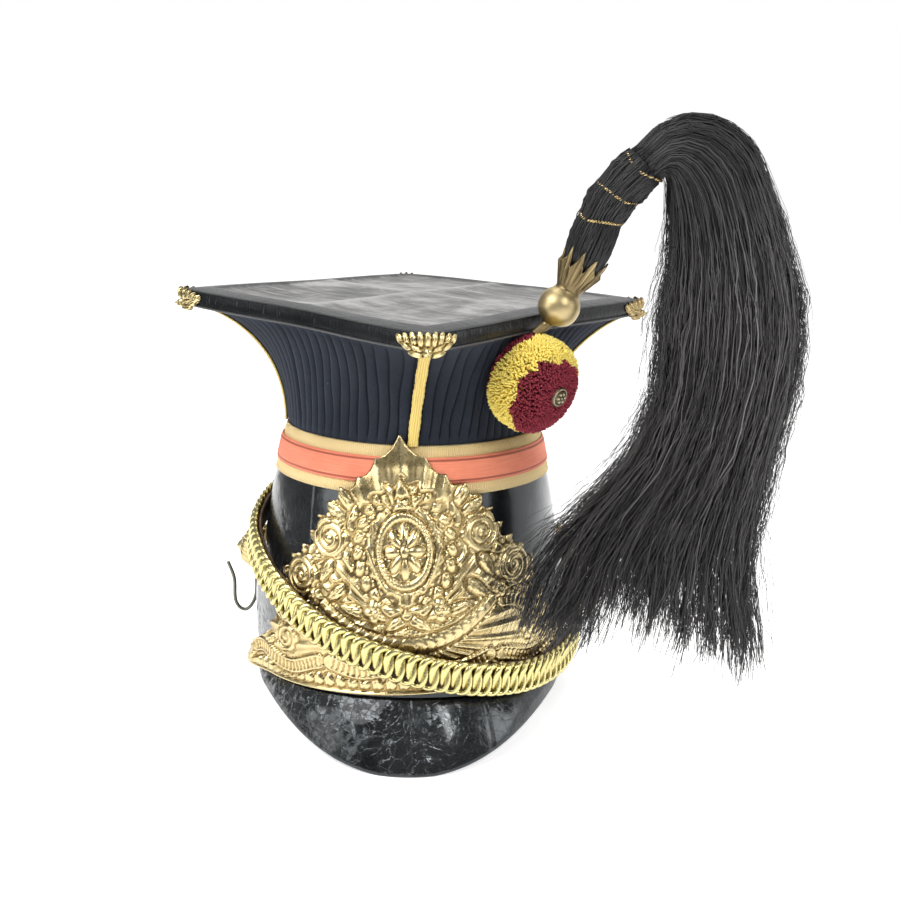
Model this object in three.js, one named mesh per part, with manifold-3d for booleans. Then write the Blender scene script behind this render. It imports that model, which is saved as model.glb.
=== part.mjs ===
// A lancer cap standing on its own rim: a leather skull and peak, a waist of lace, a fluted cloth crown
// that flares to a square leather top, a rayed brass plate, a chin chain and a falling horsehair plume.
// Millimetres, +Z up. The origin is on the ground under the middle of the skull. The front faces -Y.
import * as THREE from "three";
import { mergeVertices } from "three/addons/utils/BufferGeometryUtils.js";
import Module from "manifold-3d";

const wasm = await Module();
wasm.setup();

// Every angle is in radians, counted anticlockwise from the wearer's left, which is +X.
const FRONT = -Math.PI / 2;
const RIGHT_ANGLE = Math.PI / 2;
const degrees = THREE.MathUtils.degToRad;
const { lerp, smoothstep, clamp } = THREE.MathUtils;

// Air between two pieces that touch, and a length too small to matter.
const GAP = 0.3;
const FINE = 0.003;

// Skull: its level rings all rise towards the front by the same lean.
const LEAN = 0.14;
const RIM_HEIGHT = 11;
const SKULL_TOP = 134;
const SKULL_WALL = 2.4;
const SKULL_POINTS = 48;
const SKULL_RINGS = [11, 36, 60, 84, 110, 134];
const SKULL_INNER_RINGS = [134, 108, 80, 45, 11];
const SKULL_SECTIONS = [
  { height: 9, halfWidth: 85, halfDepth: 103 },
  { height: 35, halfWidth: 86.6, halfDepth: 102.5 },
  { height: 60, halfWidth: 85.5, halfDepth: 100 },
  { height: 90, halfWidth: 79.5, halfDepth: 92 },
  { height: 115, halfWidth: 75.2, halfDepth: 82 },
  { height: 130, halfWidth: 70, halfDepth: 75.5 },
  { height: 145.5, halfWidth: 66.8, halfDepth: 71.5 },
];

// Peak: how far it stands out and how it rests at the front.
const PEAK_TURN = degrees(-4);
const PEAK_HALF_ANGLE = degrees(80);
const PEAK_REACH = 18.5;
const PEAK_WALL = 2.4;
const PEAK_ROOT = { front: 6, side: 1.2, power: 3 };
const PEAK_ROOT_DEPTH = 4.2;
const PEAK_BULGE = 1.6;
const PEAK_REACH_POWER = 4;
const PEAK_RISE_POWER = 2.4;
const PEAK_DROP = 3;
const PEAK_FLAT = 0.6;
const PEAK_STEPS = 24;

// Waist: two lace edges with a ribbon between them.
const WAIST_TOP = 144;
const WAIST_BOTTOM = 120;
const WAIST_LACE_WALL = 1.2;
const RIBBON = { bottom: 127.6, top: 137.9, wall: 0.8 };

// Top board: a shallow square tray whose corners droop.
const TOP_HEIGHT = 215;
const TOP_HALF_DIAGONAL = 121.5;
const TOP_EDGE = 9.5;
const TOP_WALL = 2.4;
const TOP_SKIRT = 2.8;
const TOP_ROUNDING = 1.2;
const TOP_POINTS = 60;
const TOP_PANEL = 0.82;
const CORNER_DROOP = 0.5;
const DROOP_POWER = 4;
const SQUARE_POWER = 1.06;
const SQUARE_HOLLOW = 0.06;

// Crown cloth: ribs that follow the flare from the waist to the board.
const RIBS = 84;
const RIB_DEPTH = 1.2;
const RIB_FADE = { waist: 0.16, top: 0.11 };
const CLOTH_WALL = 2.4;
const CLOTH_LIP = 1.6;
const WAIST_TURN = degrees(-3);
const FLARE = { left: { round: 0.8, power: 3 }, right: { round: 0.55, power: 1.8 } };
const CLOTH_STEPS = [0, 0.25, 0.48, 0.66, 0.81, 0.93, 1];
const CLOTH_INNER_STEPS = [0.88, 0.4];

// Corner lace and corner ornaments.
const CORNERS = [
  { name: "front", angle: FRONT },
  { name: "right", angle: 0 },
  { name: "back", angle: RIGHT_ANGLE },
  { name: "left", angle: Math.PI },
];
const CORNER_LACE = { halfWidth: 3, wall: 1.1, from: 0.02, to: 0.93, steps: 13 };
const ORNAMENT = { halfAngle: degrees(6.6), drop: 3, rise: 1, wall: 1.4, relief: 2.4, lobes: 5, steps: 12 };

// Plate: laid out flat round the middle of its shield, then leaned and wrapped round the skull.
const PLATE_TURN = degrees(-5.5);
const PLATE_LEAN = degrees(3.3);
const PLATE_MIDDLE = 94;
const PLATE_WALL = 1;
const PLATE_GAP = 0.7;
const PLATE_BASE = -75;
const PLATE_HALF_WIDTH = 120;
const PLATE_COLUMNS = 44;
const PLATE_ROWS = 5;
const PLATE_RAY = 2;
const PLATE_OUTLINE = [
  { across: 0, up: 45 },
  { across: 20, up: 29 },
  { across: 37, up: 21 },
  { across: 53, up: 0 },
  { across: 71, up: -13 },
  { across: 80, up: -34 },
  { across: 86, up: -48 },
  { across: 120, up: -70 },
];
const RELIEF = [
  { across: 0, up: -3, halfAcross: 14, halfUp: 20, tilt: 0, height: 2.2 },
  { across: 0, up: 27, halfAcross: 9.5, halfUp: 6.5, tilt: 0, height: 2 },
  { across: 32, up: -2, halfAcross: 8, halfUp: 18, tilt: degrees(12), height: 2 },
  { across: 25, up: -37, halfAcross: 19, halfUp: 5, tilt: degrees(10), height: 1.7 },
  { across: 60, up: -56, halfAcross: 26, halfUp: 6, tilt: degrees(-8), height: 1.5 },
];
const RELIEF_SIDES = 8;
const RELIEF_SINK = 0.4;
const RELIEF_RINGS = [
  { scale: 0.35, rise: 0, sunk: 1 },
  { scale: 1, rise: 0, sunk: 1 },
  { scale: 0.82, rise: 0.8, sunk: 0 },
  { scale: 0.35, rise: 1, sunk: 0 },
];
const WAIST_CLEARANCE = 3.1;
const WAIST_CLEARANCE_FROM = 106;
const PLATE_SPRING = { from: 88, out: 5 };

// Chin chain on its strap: a loop in one slanted plane.
const CHAIN_PLANE = { height: 66.5, perX: -0.3, perY: 0.2 };
const CHAIN_WIDTH = 17.4;
const CHAIN_THICKNESS = 4.4;
const STRAP_WIDTH = 18.6;
const STRAP_THICKNESS = 1.6;
const STRAP_OFFSET = { front: 4.2, back: 0.5, blend: 30 };
const CHAIN_STEPS = 48;
const CHAIN_TRIES = 4;
const CHAIN_CLEARANCE = 0.8;

// Bosses and hook.
const BOSS_ANGLE = degrees(9);
const BOSS_HEIGHT = 68.5;
const BOSS_LOBES = 8;
const BOSS_SECTIONS = [
  { out: 0, radius: 12, drop: 0, lobe: 0.06 },
  { out: 3.4, radius: 12.4, drop: 0, lobe: 0.08 },
  { out: 8, radius: 9, drop: 0.5, lobe: 0.05 },
  { out: 11.2, radius: 6, drop: 2.2, lobe: 0 },
  { out: 14, radius: 3.4, drop: 3, lobe: 0 },
];
const HOOK_RADIUS = 1.1;
const HOOK_SIDES = 6;
const HOOK_STEPS = 20;
const HOOK_ROUTE = [
  { x: -88.2, y: 14, z: 53.6 },
  { x: -88.4, y: 13, z: 39 },
  { x: -90.8, y: 12, z: 32.8 },
  { x: -94.3, y: 12, z: 29.7 },
  { x: -97.9, y: 12, z: 31.2 },
  { x: -100.1, y: 12, z: 36 },
  { x: -100.5, y: 12, z: 49 },
  { x: -103.8, y: 12, z: 59.3 },
];

// Rosette: a wool puck on the cloth, turned about its own axis.
const ROSETTE_CENTRE = new THREE.Vector3(53.9, -71.4, 181.8);
const ROSETTE_AXIS = new THREE.Vector3(0.62, -0.76, -0.22).normalize();
const ROSETTE_SIDES = 18;
const ROSETTE_PROFILES = {
  rosette_back: [[0, -12.6], [9.4, -12.6], [15.6, -11.4], [20.2, -9], [0, -9]],
  rosette_ring: [[12, -8.7], [21, -8.7], [22.8, -2], [22.6, 5], [20.8, 9.5], [17.8, 12], [12, -8.7]],
  rosette_face: [[0, -8.7], [11.6, -8.7], [17.3, 12.2], [14, 15], [9, 16.8], [0, 16.8]],
  rosette_button: [[0, 17.1], [5, 17.1], [5, 18], [3.6, 19.6], [0, 20.2]],
};

// Plume: a brass socket, a bound stalk and the fall of hair.
const SOCKET_CENTRE = new THREE.Vector3(66.1, -65.7, 218.2);
const SOCKET_AXIS = new THREE.Vector3(0.449, 0.02, 0.894).normalize();
const SOCKET_LEAVES = 8;
const SOCKET_SECTIONS = [
  { along: -14.3, radius: 2.6, aside: 5.8, leaf: 0 },
  { along: -9.4, radius: 2.8, aside: 1.4, leaf: 0 },
  { along: -7.6, radius: 6.9, aside: 0, leaf: 0 },
  { along: -3.2, radius: 9.8, aside: 0, leaf: 0 },
  { along: 1.4, radius: 10.2, aside: 0, leaf: 0 },
  { along: 5.8, radius: 8.4, aside: 0, leaf: 0 },
  { along: 8.6, radius: 6.4, aside: 0, leaf: 0 },
  { along: 16, radius: 8.8, aside: 0, leaf: 0 },
  { along: 23, radius: 10.9, aside: 0, leaf: 3.4 },
  { along: 23, radius: 9.9, aside: 0, leaf: 3.4 },
  { along: 14.4, radius: 7.4, aside: 0, leaf: 0 },
];
const STALK_SIDES = 12;
const STALK_SECTIONS = [
  { x: 73, y: -65.4, z: 232, radius: 6.6 },
  { x: 76.4, y: -65.2, z: 238.8, radius: 8.9 },
  { x: 80.6, y: -65.4, z: 250.2, radius: 10.2 },
  { x: 84.7, y: -65.6, z: 261.5, radius: 9.4 },
  { x: 87.9, y: -65.9, z: 267.7, radius: 10.6 },
  { x: 91.9, y: -66.3, z: 273.2, radius: 9.7 },
  { x: 97, y: -66.7, z: 278.9, radius: 10.6 },
  { x: 102.9, y: -67.2, z: 284.4, radius: 9.5 },
  { x: 106.1, y: -67.4, z: 287.2, radius: 9.4 },
];
const STALK_RINGS = [3, 5, 7];
const STALK_RING = { halfLength: 0.9, thickness: 0.9 };

// The fall runs from the stalk over the crest to the tips, between an inner and an outer edge.
const FALL_SECTIONS = [
  { innerX: 113, innerZ: 280.4, outerX: 100.3, outerZ: 294.8, y: -67.4, thick: 9.6 },
  { innerX: 114, innerZ: 279.6, outerX: 110, outerZ: 304.5, y: -67.7, thick: 12 },
  { innerX: 115, innerZ: 276.5, outerX: 122.7, outerZ: 308.8, y: -68.4, thick: 14 },
  { innerX: 115.6, innerZ: 270, outerX: 138, outerZ: 306, y: -69.5, thick: 15.5 },
  { innerX: 116.4, innerZ: 260, outerX: 152.5, outerZ: 294, y: -71, thick: 17 },
  { innerX: 117, innerZ: 241, outerX: 168.5, outerZ: 259, y: -73, thick: 18 },
  { innerX: 115, innerZ: 213, outerX: 180, outerZ: 222, y: -76, thick: 19 },
  { innerX: 112.6, innerZ: 178, outerX: 178.4, outerZ: 184, y: -80, thick: 19 },
  { innerX: 99, innerZ: 146, outerX: 169.4, outerZ: 140, y: -86, thick: 18 },
  { innerX: 73, innerZ: 112, outerX: 165, outerZ: 98, y: -94, thick: 15 },
  { innerX: 52, innerZ: 67, outerX: 172.5, outerZ: 50, y: -103, thick: 11 },
];
const FALL_HEAD_SECTIONS = 4;
const LOCKS = 7;
const LOCK_SIDES = 6;
const LOCK_OVERLAP = 0.78;
const LOCK_STARTS = 2;
const LOCK_TIP = 0.3;
const LOCK_SPLAY = [0, 0.14, -0.1, 0.1, -0.16, 0.12, 0];
const HEAD_SIDES = 16;

const leather = (color, roughness) => new THREE.MeshStandardMaterial({ color, roughness, metalness: 0 });
const cloth = (color) => new THREE.MeshStandardMaterial({ color, roughness: 0.95, metalness: 0 });
const metal = (color, roughness) => new THREE.MeshStandardMaterial({ color, roughness, metalness: 1 });
const SURFACES = {
  patent: () => leather(0x0d0d0f, 0.25),
  strap: () => leather(0x5a3a22, 0.7),
  navy: () => cloth(0x12131a),
  yellow: () => cloth(0xd8b65a),
  red: () => cloth(0xc8503c),
  wool_yellow: () => cloth(0xe1c33c),
  wool_crimson: () => cloth(0x7d1432),
  hair: () => cloth(0x151416),
  brass: () => metal(0xb08d4f, 0.35),
  bright_brass: () => metal(0xc9a03c, 0.28),
  gilt: () => metal(0x8f6f35, 0.45),
  steel: () => metal(0x4a4842, 0.5),
};

const cap = new THREE.Group();

function place(name, geometry, surface) {
  const mesh = new THREE.Mesh(geometry, SURFACES[surface]());
  mesh.name = name;
  cap.add(mesh);
}

// A smooth curve through one column of a table, against another column that rises.
function column(rows, key, value, at) {
  const last = rows.length - 1;
  const slope = (i) => {
    const before = rows[Math.max(0, i - 1)];
    const after = rows[Math.min(last, i + 1)];
    return (after[value] - before[value]) / (after[key] - before[key]);
  };
  let i = 0;
  while (i < last - 1 && at > rows[i + 1][key]) i += 1;
  const span = rows[i + 1][key] - rows[i][key];
  const t = (at - rows[i][key]) / span;
  const [a, b] = [rows[i][value], rows[i + 1][value]];
  const [ta, tb] = [slope(i) * span, slope(i + 1) * span];
  return a + t * (ta + t * (3 * (b - a) - 2 * ta - tb + t * (2 * (a - b) + ta + tb)));
}

// A closed body through rings of equal length: a ring of rings, or capped at both ends.
function skin(rings, endless = false) {
  const size = rings[0].length;
  const points = rings.flat();
  const faces = [];
  const spans = endless ? rings.length : rings.length - 1;
  for (let i = 0; i < spans; i += 1) {
    const low = i * size;
    const high = ((i + 1) % rings.length) * size;
    for (let j = 0; j < size; j += 1) {
      const k = (j + 1) % size;
      faces.push([low + j, low + k, high + k], [low + j, high + k, high + j]);
    }
  }
  if (!endless) {
    [0, rings.length - 1].forEach((end) => {
      const middle = rings[end].reduce((sum, p) => sum.add(p), new THREE.Vector3()).divideScalar(size);
      const hub = points.push(middle) - 1;
      for (let j = 0; j < size; j += 1) {
        const edge = [end * size + j, end * size + ((j + 1) % size)];
        faces.push(end ? [hub, ...edge] : [hub, ...edge.reverse()]);
      }
    });
  }
  const volume = faces.reduce((sum, [a, b, c]) => {
    return sum + points[a].dot(new THREE.Vector3().crossVectors(points[b], points[c]));
  }, 0);
  const outward = volume < 0 ? faces.map((face) => face.reverse()) : faces;
  return new THREE.BufferGeometry().setFromPoints(points).setIndex(outward.flat());
}

function loop(count, pointAt) {
  return Array.from({ length: count }, (_, i) => pointAt(i / count, i));
}

// A path of count + 1 stations from 0 to 1.
function stations(count, pointAt) {
  return Array.from({ length: count + 1 }, (_, i) => pointAt(i / count, i));
}

const turn = (share) => 2 * Math.PI * share;

function solid(geometry) {
  const bare = new THREE.BufferGeometry().setAttribute("position", geometry.getAttribute("position"));
  const merged = mergeVertices(bare.setIndex(geometry.index), FINE);
  return new wasm.Manifold(
    new wasm.Mesh({
      numProp: 3,
      vertProperties: merged.attributes.position.array,
      triVerts: new Uint32Array(merged.index.array),
    }),
  );
}

function joined(geometries) {
  const mesh = geometries.map(solid).reduce((sum, piece) => sum.add(piece)).getMesh();
  const position = new THREE.BufferAttribute(new Float32Array(mesh.vertProperties), mesh.numProp);
  return new THREE.BufferGeometry()
    .setAttribute("position", position)
    .setIndex(new THREE.BufferAttribute(mesh.triVerts, 1));
}

// Skull surface.
const halfWidth = (height) => column(SKULL_SECTIONS, "height", "halfWidth", height);
const halfDepth = (height) => column(SKULL_SECTIONS, "height", "halfDepth", height);

function skullPoint(angle, height, offset = 0) {
  const x = (halfWidth(height) + offset) * Math.cos(angle);
  const y = (halfDepth(height) + offset) * Math.sin(angle);
  return new THREE.Vector3(x, y, Math.max(0, height - LEAN * y));
}

// The surface's own directions: round to the left, up the wall and straight out of it.
function skullFrame(angle, height) {
  const point = skullPoint(angle, height);
  const round = skullPoint(angle + FINE / halfWidth(height), height).sub(point).normalize();
  const up = skullPoint(angle, height + FINE).sub(point).normalize();
  const out = new THREE.Vector3().crossVectors(round, up).normalize();
  return { point, round, up: new THREE.Vector3().crossVectors(out, round), out };
}

const skullRing = (height, offset) =>
  loop(SKULL_POINTS, (share) => skullPoint(turn(share), height, offset));

place(
  "skull",
  skin(
    [
      ...SKULL_RINGS.map((height) => skullRing(height, 0)),
      ...SKULL_INNER_RINGS.map((height) => skullRing(height, -SKULL_WALL)),
    ],
    true,
  ),
  "patent",
);

// Peak: one section for each step round the front, from its root on the skull to its edge.
function peakSection(share) {
  const aside = lerp(PEAK_HALF_ANGLE, -PEAK_HALF_ANGLE, share);
  const angle = FRONT + PEAK_TURN + aside;
  const forward = Math.cos(aside);
  const height = RIM_HEIGHT + lerp(PEAK_ROOT.side, PEAK_ROOT.front, forward ** PEAK_ROOT.power);
  const rootTop = skullPoint(angle, height, GAP);
  const outward = new THREE.Vector3(Math.cos(angle), Math.sin(angle), 0);
  const reach = PEAK_WALL + PEAK_REACH * forward ** PEAK_REACH_POWER;
  const edgeHeight = Math.max(0, (rootTop.z - PEAK_DROP) * (1 - forward ** PEAK_RISE_POWER) - PEAK_FLAT);
  const edge = rootTop.clone().addScaledVector(outward, reach).setZ(edgeHeight);
  const edgeTop = edge.clone().setZ(edgeHeight + PEAK_WALL / 2);
  const edgeBottom = edge.clone().addScaledVector(outward, -PEAK_WALL / 2);
  const rootBottom = rootTop.clone().setZ(Math.max(edgeHeight, rootTop.z - PEAK_ROOT_DEPTH));
  const bulge = outward.clone().setZ(1).setLength(PEAK_BULGE * forward);
  const middle = (a, b) => a.clone().lerp(b, 1 / 2).add(bulge);
  const [crest, hollow] = [middle(edgeTop, rootTop), middle(rootBottom, edgeBottom)];
  return [edgeBottom, edgeTop, crest, rootTop, rootBottom, hollow];
}

place("peak", skin(stations(PEAK_STEPS, peakSection)), "patent");

// Waist bands: flat hoops round the join of skull and cloth.
function hoop(heights, inner, outer) {
  const outside = heights.map((height) => skullRing(height, outer));
  const inside = heights.toReversed().map((height) => skullRing(height, inner));
  return skin([...outside, ...inside], true);
}

const laceInner = 2 * GAP;
const laceOuter = laceInner + WAIST_LACE_WALL;
const ribbonInner = laceOuter + 2 * GAP;
const laceHeights = [WAIST_BOTTOM, (WAIST_BOTTOM + WAIST_TOP) / 2, WAIST_TOP];
place("waist_lace", hoop(laceHeights, laceInner, laceOuter), "yellow");
place("waist_ribbon", hoop([RIBBON.bottom, RIBBON.top], ribbonInner, ribbonInner + RIBBON.wall), "red");

// Square of the top in plan, slightly hollow between its rounded corners.
function squareRadius(angle, halfDiagonal) {
  const across = Math.abs(Math.cos(angle)) ** SQUARE_POWER + Math.abs(Math.sin(angle)) ** SQUARE_POWER;
  return (halfDiagonal / across ** (1 / SQUARE_POWER)) * (1 - SQUARE_HOLLOW * Math.sin(2 * angle) ** 2);
}

function squarePoint(angle, halfDiagonal, height) {
  const radius = squareRadius(angle, halfDiagonal);
  const droop = CORNER_DROOP * (radius / TOP_HALF_DIAGONAL) ** DROOP_POWER;
  return new THREE.Vector3(radius * Math.cos(angle), radius * Math.sin(angle), height - droop);
}

function topRing(halfDiagonal, height) {
  return loop(TOP_POINTS, (share) => squarePoint(turn(share), halfDiagonal, height));
}

const skirtInner = TOP_HALF_DIAGONAL - TOP_SKIRT;
const edgeBottom = TOP_HEIGHT - TOP_EDGE;
place(
  "top_board",
  skin([
    topRing(TOP_HALF_DIAGONAL * TOP_PANEL, TOP_HEIGHT - TOP_WALL),
    topRing(skirtInner, TOP_HEIGHT - TOP_WALL),
    topRing(skirtInner, edgeBottom),
    topRing(TOP_HALF_DIAGONAL, edgeBottom),
    topRing(TOP_HALF_DIAGONAL, TOP_HEIGHT - TOP_ROUNDING),
    topRing(TOP_HALF_DIAGONAL - TOP_ROUNDING, TOP_HEIGHT),
    topRing(TOP_HALF_DIAGONAL * TOP_PANEL, TOP_HEIGHT),
  ]),
  "patent",
);

// Crown cloth: share 0 is the waist and share 1 the underside of the board.
const clothHalfDiagonal = skirtInner - 2 * GAP;

// The left side stays close to the waist for longer than the right one before it flares.
function flare(angle, share) {
  const quarterRound = 1 - Math.sqrt(1 - share ** 2);
  const bend = ({ round, power }) => lerp(share ** power, quarterRound, round);
  return lerp(bend(FLARE.left), bend(FLARE.right), (1 + Math.cos(angle)) / 2);
}

function clothPoint(angle, share, offset) {
  const waist = skullPoint(angle + WAIST_TURN * (1 - share), WAIST_TOP);
  const square = squarePoint(angle, clothHalfDiagonal, edgeBottom);
  const point = waist.clone().lerp(square, flare(angle, share)).setZ(lerp(waist.z, square.z, share));
  const out = new THREE.Vector3(point.x, point.y, 0).setLength(offset);
  return point.add(out);
}

const ribFade = (share) => Math.min(1, share / RIB_FADE.waist, (1 - share) / RIB_FADE.top);

function clothRing(share, offset, depth) {
  return loop(2 * RIBS, (around, i) => {
    return clothPoint(turn(around), share, offset + (i % 2 ? depth * ribFade(share) : 0));
  });
}

const clothTuck = (offset) =>
  loop(2 * RIBS, (around) => skullPoint(turn(around) + WAIST_TURN, SKULL_TOP + GAP, offset));
const lipHalfDiagonal = clothHalfDiagonal - CLOTH_WALL;
const clothLip = () =>
  loop(2 * RIBS, (around) => squarePoint(turn(around), lipHalfDiagonal, edgeBottom + CLOTH_LIP));

place(
  "crown_cloth",
  skin(
    [
      clothTuck(0),
      ...CLOTH_STEPS.map((share) => clothRing(share, 0, RIB_DEPTH)),
      clothLip(),
      ...CLOTH_INNER_STEPS.map((share) => clothRing(share, -CLOTH_WALL, 0)),
      clothTuck(-CLOTH_WALL),
    ],
    true,
  ),
  "navy",
);

// Corner lace: a strip folded over each corner of the cloth.
function laceSection(angle, share) {
  const along = lerp(CORNER_LACE.from, CORNER_LACE.to, share);
  const ridge = clothPoint(angle, along, 0);
  const half = CORNER_LACE.halfWidth / Math.hypot(ridge.x, ridge.y);
  const inner = RIB_DEPTH + 2 * GAP;
  const outer = inner + CORNER_LACE.wall;
  return [
    [-half, inner],
    [-half, outer],
    [0, outer],
    [half, outer],
    [half, inner],
    [0, inner],
  ].map(([side, offset]) => clothPoint(angle + side, along, offset));
}

CORNERS.forEach(({ name, angle }) => {
  const sections = stations(CORNER_LACE.steps, (share) => laceSection(angle, share));
  place(`corner_lace_${name}`, skin(sections), "yellow");
});

// Corner ornaments: lobed leaf clasps bent round the corners of the board.
function ornamentSection(angle, share) {
  const across = lerp(-1, 1, share);
  const spread = angle + across * ORNAMENT.halfAngle;
  const lobe = Math.abs(Math.cos((ORNAMENT.lobes * Math.PI * across) / 2));
  const hang = 1 - across ** 2;
  const inner = TOP_HALF_DIAGONAL + 2 * GAP;
  const outer = inner + ORNAMENT.wall + ORNAMENT.relief * lobe * hang;
  const low = edgeBottom - ORNAMENT.drop * hang * lobe;
  const high = TOP_HEIGHT - ORNAMENT.wall + ORNAMENT.rise * lobe * hang;
  const at = (halfDiagonal, height) => squarePoint(spread, halfDiagonal, height);
  return [at(inner, low), at(inner + ORNAMENT.wall, low), at(outer, (low + high) / 2),
    at(inner + ORNAMENT.wall, high), at(inner, high)];
}

CORNERS.forEach(({ name, angle }) => {
  const sections = stations(ORNAMENT.steps, (share) => ornamentSection(angle, share));
  place(`corner_ornament_${name}`, skin(sections), "gilt");
});

// Turns a distance round the skull at one height into an angle, in small slices.
function angleRound(distance, height) {
  const slices = 24;
  let angle = FRONT + PLATE_TURN;
  for (let i = 0; i < slices; i += 1) {
    const speed = Math.hypot(halfWidth(height) * Math.sin(angle), halfDepth(height) * Math.cos(angle));
    angle += distance / slices / speed;
  }
  return angle;
}

function onSkull(flat, offset) {
  const across = flat.x * Math.cos(PLATE_LEAN) - flat.y * Math.sin(PLATE_LEAN);
  const height = PLATE_MIDDLE + flat.x * Math.sin(PLATE_LEAN) + flat.y * Math.cos(PLATE_LEAN);
  const { point, out } = skullFrame(angleRound(across, height), height);
  const clear = WAIST_CLEARANCE * smoothstep(height, WAIST_CLEARANCE_FROM, WAIST_BOTTOM);
  const spring = PLATE_SPRING.out * smoothstep(-flat.x, PLATE_SPRING.from, PLATE_HALF_WIDTH);
  return point.addScaledVector(out, offset + clear + spring);
}

// Plate: one section for each column, up its face from the base to the rays and down its back.
function plateSection(share, i) {
  const across = lerp(-PLATE_HALF_WIDTH, PLATE_HALF_WIDTH, share);
  const ray = i % 2 ? -PLATE_RAY : PLATE_RAY;
  const top = column(PLATE_OUTLINE, "across", "up", Math.abs(across)) + ray;
  const face = stations(PLATE_ROWS, (rise) => new THREE.Vector2(across, lerp(PLATE_BASE, top, rise)));
  const front = face.map((flat) => onSkull(flat, PLATE_GAP + PLATE_WALL));
  const back = face.toReversed().map((flat) => onSkull(flat, PLATE_GAP));
  return [...front, ...back];
}

// One raised oval of the cast relief.
function plateBoss(row, sign) {
  const middle = new THREE.Vector2(sign * row.across, row.up);
  return skin(
    RELIEF_RINGS.map(({ scale, rise, sunk }) =>
      loop(RELIEF_SIDES, (share) => {
        const flat = new THREE.Vector2(
          scale * row.halfAcross * Math.cos(turn(share)),
          scale * row.halfUp * Math.sin(turn(share)),
        );
        flat.rotateAround(new THREE.Vector2(), -sign * row.tilt).add(middle);
        return onSkull(flat, PLATE_GAP + PLATE_WALL + rise * row.height - sunk * RELIEF_SINK);
      })),
  );
}

const plateRelief = RELIEF.flatMap((row) => {
  const sides = row.across ? [-1, 1] : [1];
  return sides.map((sign) => plateBoss(row, sign));
});
place("plate", joined([skin(stations(PLATE_COLUMNS, plateSection)), ...plateRelief]), "brass");

// Chin chain and its strap: flat belts that follow one slanted plane round the skull.
function beltFrame(angle) {
  let height = CHAIN_PLANE.height;
  for (let i = 0; i < CHAIN_TRIES; i += 1) {
    const { x, y } = skullPoint(angle, height);
    height = CHAIN_PLANE.height + CHAIN_PLANE.perX * x + (CHAIN_PLANE.perY + LEAN) * y;
  }
  const frame = skullFrame(angle, height);
  const rear = smoothstep(frame.point.y, -STRAP_OFFSET.blend, STRAP_OFFSET.blend);
  return { ...frame, offset: lerp(STRAP_OFFSET.front, STRAP_OFFSET.back, rear) };
}

function belt(section, lift) {
  return skin(
    loop(CHAIN_STEPS, (share) => {
      const { point, up, out, offset } = beltFrame(turn(share));
      return section.map(([across, rise]) =>
        point.clone().addScaledVector(up, across).addScaledVector(out, offset + lift + rise));
    }),
    true,
  );
}

const strapSection = [
  [-STRAP_WIDTH / 2, 0],
  [STRAP_WIDTH / 2, 0],
  [STRAP_WIDTH / 2, STRAP_THICKNESS],
  [-STRAP_WIDTH / 2, STRAP_THICKNESS],
];
const chainSection = [
  [-CHAIN_WIDTH / 2, 0],
  [CHAIN_WIDTH / 2, 0],
  [CHAIN_WIDTH / 2, CHAIN_THICKNESS / 2],
  [CHAIN_WIDTH / 3, CHAIN_THICKNESS],
  [-CHAIN_WIDTH / 3, CHAIN_THICKNESS],
  [-CHAIN_WIDTH / 2, CHAIN_THICKNESS / 2],
];
place("chin_strap", belt(strapSection, 0), "strap");
place("chin_chain", belt(chainSection, STRAP_THICKNESS + CHAIN_CLEARANCE), "bright_brass");

// Bosses: lobed masks with a muzzle, seated square on the skull.
function boss(angle) {
  const { point, round, up, out } = skullFrame(angle, BOSS_HEIGHT);
  return skin(
    BOSS_SECTIONS.map(({ out: rise, radius, drop, lobe }) =>
      loop(2 * BOSS_LOBES, (share, i) => {
        const reach = radius * (1 + (i % 2 ? -lobe : lobe));
        return point
          .clone()
          .addScaledVector(out, 2 * GAP + rise)
          .addScaledVector(round, reach * Math.cos(turn(share)))
          .addScaledVector(up, reach * Math.sin(turn(share)) - drop);
      })),
  );
}

place("boss_left", boss(Math.PI - BOSS_ANGLE), "brass");
place("boss_right", boss(BOSS_ANGLE), "brass");

const hookPath = new THREE.CatmullRomCurve3(HOOK_ROUTE.map(({ x, y, z }) => new THREE.Vector3(x, y, z)));
const wire = new THREE.Shape(loop(HOOK_SIDES, (share) => {
  return new THREE.Vector2(HOOK_RADIUS * Math.cos(turn(share)), HOOK_RADIUS * Math.sin(turn(share)));
}));
place("hook", new THREE.ExtrudeGeometry(wire, { steps: HOOK_STEPS, extrudePath: hookPath }), "steel");

// Rosette: turned profiles about one axis, laid from the cloth outwards.
const ROSETTE_SURFACES = {
  rosette_back: "wool_crimson",
  rosette_ring: "wool_yellow",
  rosette_face: "wool_crimson",
  rosette_button: "brass",
};

const rosetteTurn = new THREE.Quaternion().setFromUnitVectors(new THREE.Vector3(0, 1, 0), ROSETTE_AXIS);
Object.entries(ROSETTE_PROFILES).forEach(([name, profile]) => {
  const points = profile.map(([radius, along]) => new THREE.Vector2(radius, along));
  const geometry = new THREE.LatheGeometry(points, ROSETTE_SIDES);
  geometry.applyQuaternion(rosetteTurn).translate(...ROSETTE_CENTRE);
  place(name, geometry, ROSETTE_SURFACES[name]);
});

// A ring of points about an axis, turned so that neighbouring rings line up.
function ringAbout(centre, axis, count, pointAt) {
  const side = new THREE.Vector3(0, 1, 0).cross(axis).normalize();
  const other = new THREE.Vector3().crossVectors(axis, side);
  return loop(count, (share, i) => {
    const { radius, along } = pointAt(i);
    return centre
      .clone()
      .addScaledVector(axis, along)
      .addScaledVector(side, radius * Math.cos(turn(share)))
      .addScaledVector(other, radius * Math.sin(turn(share)));
  });
}

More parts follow.
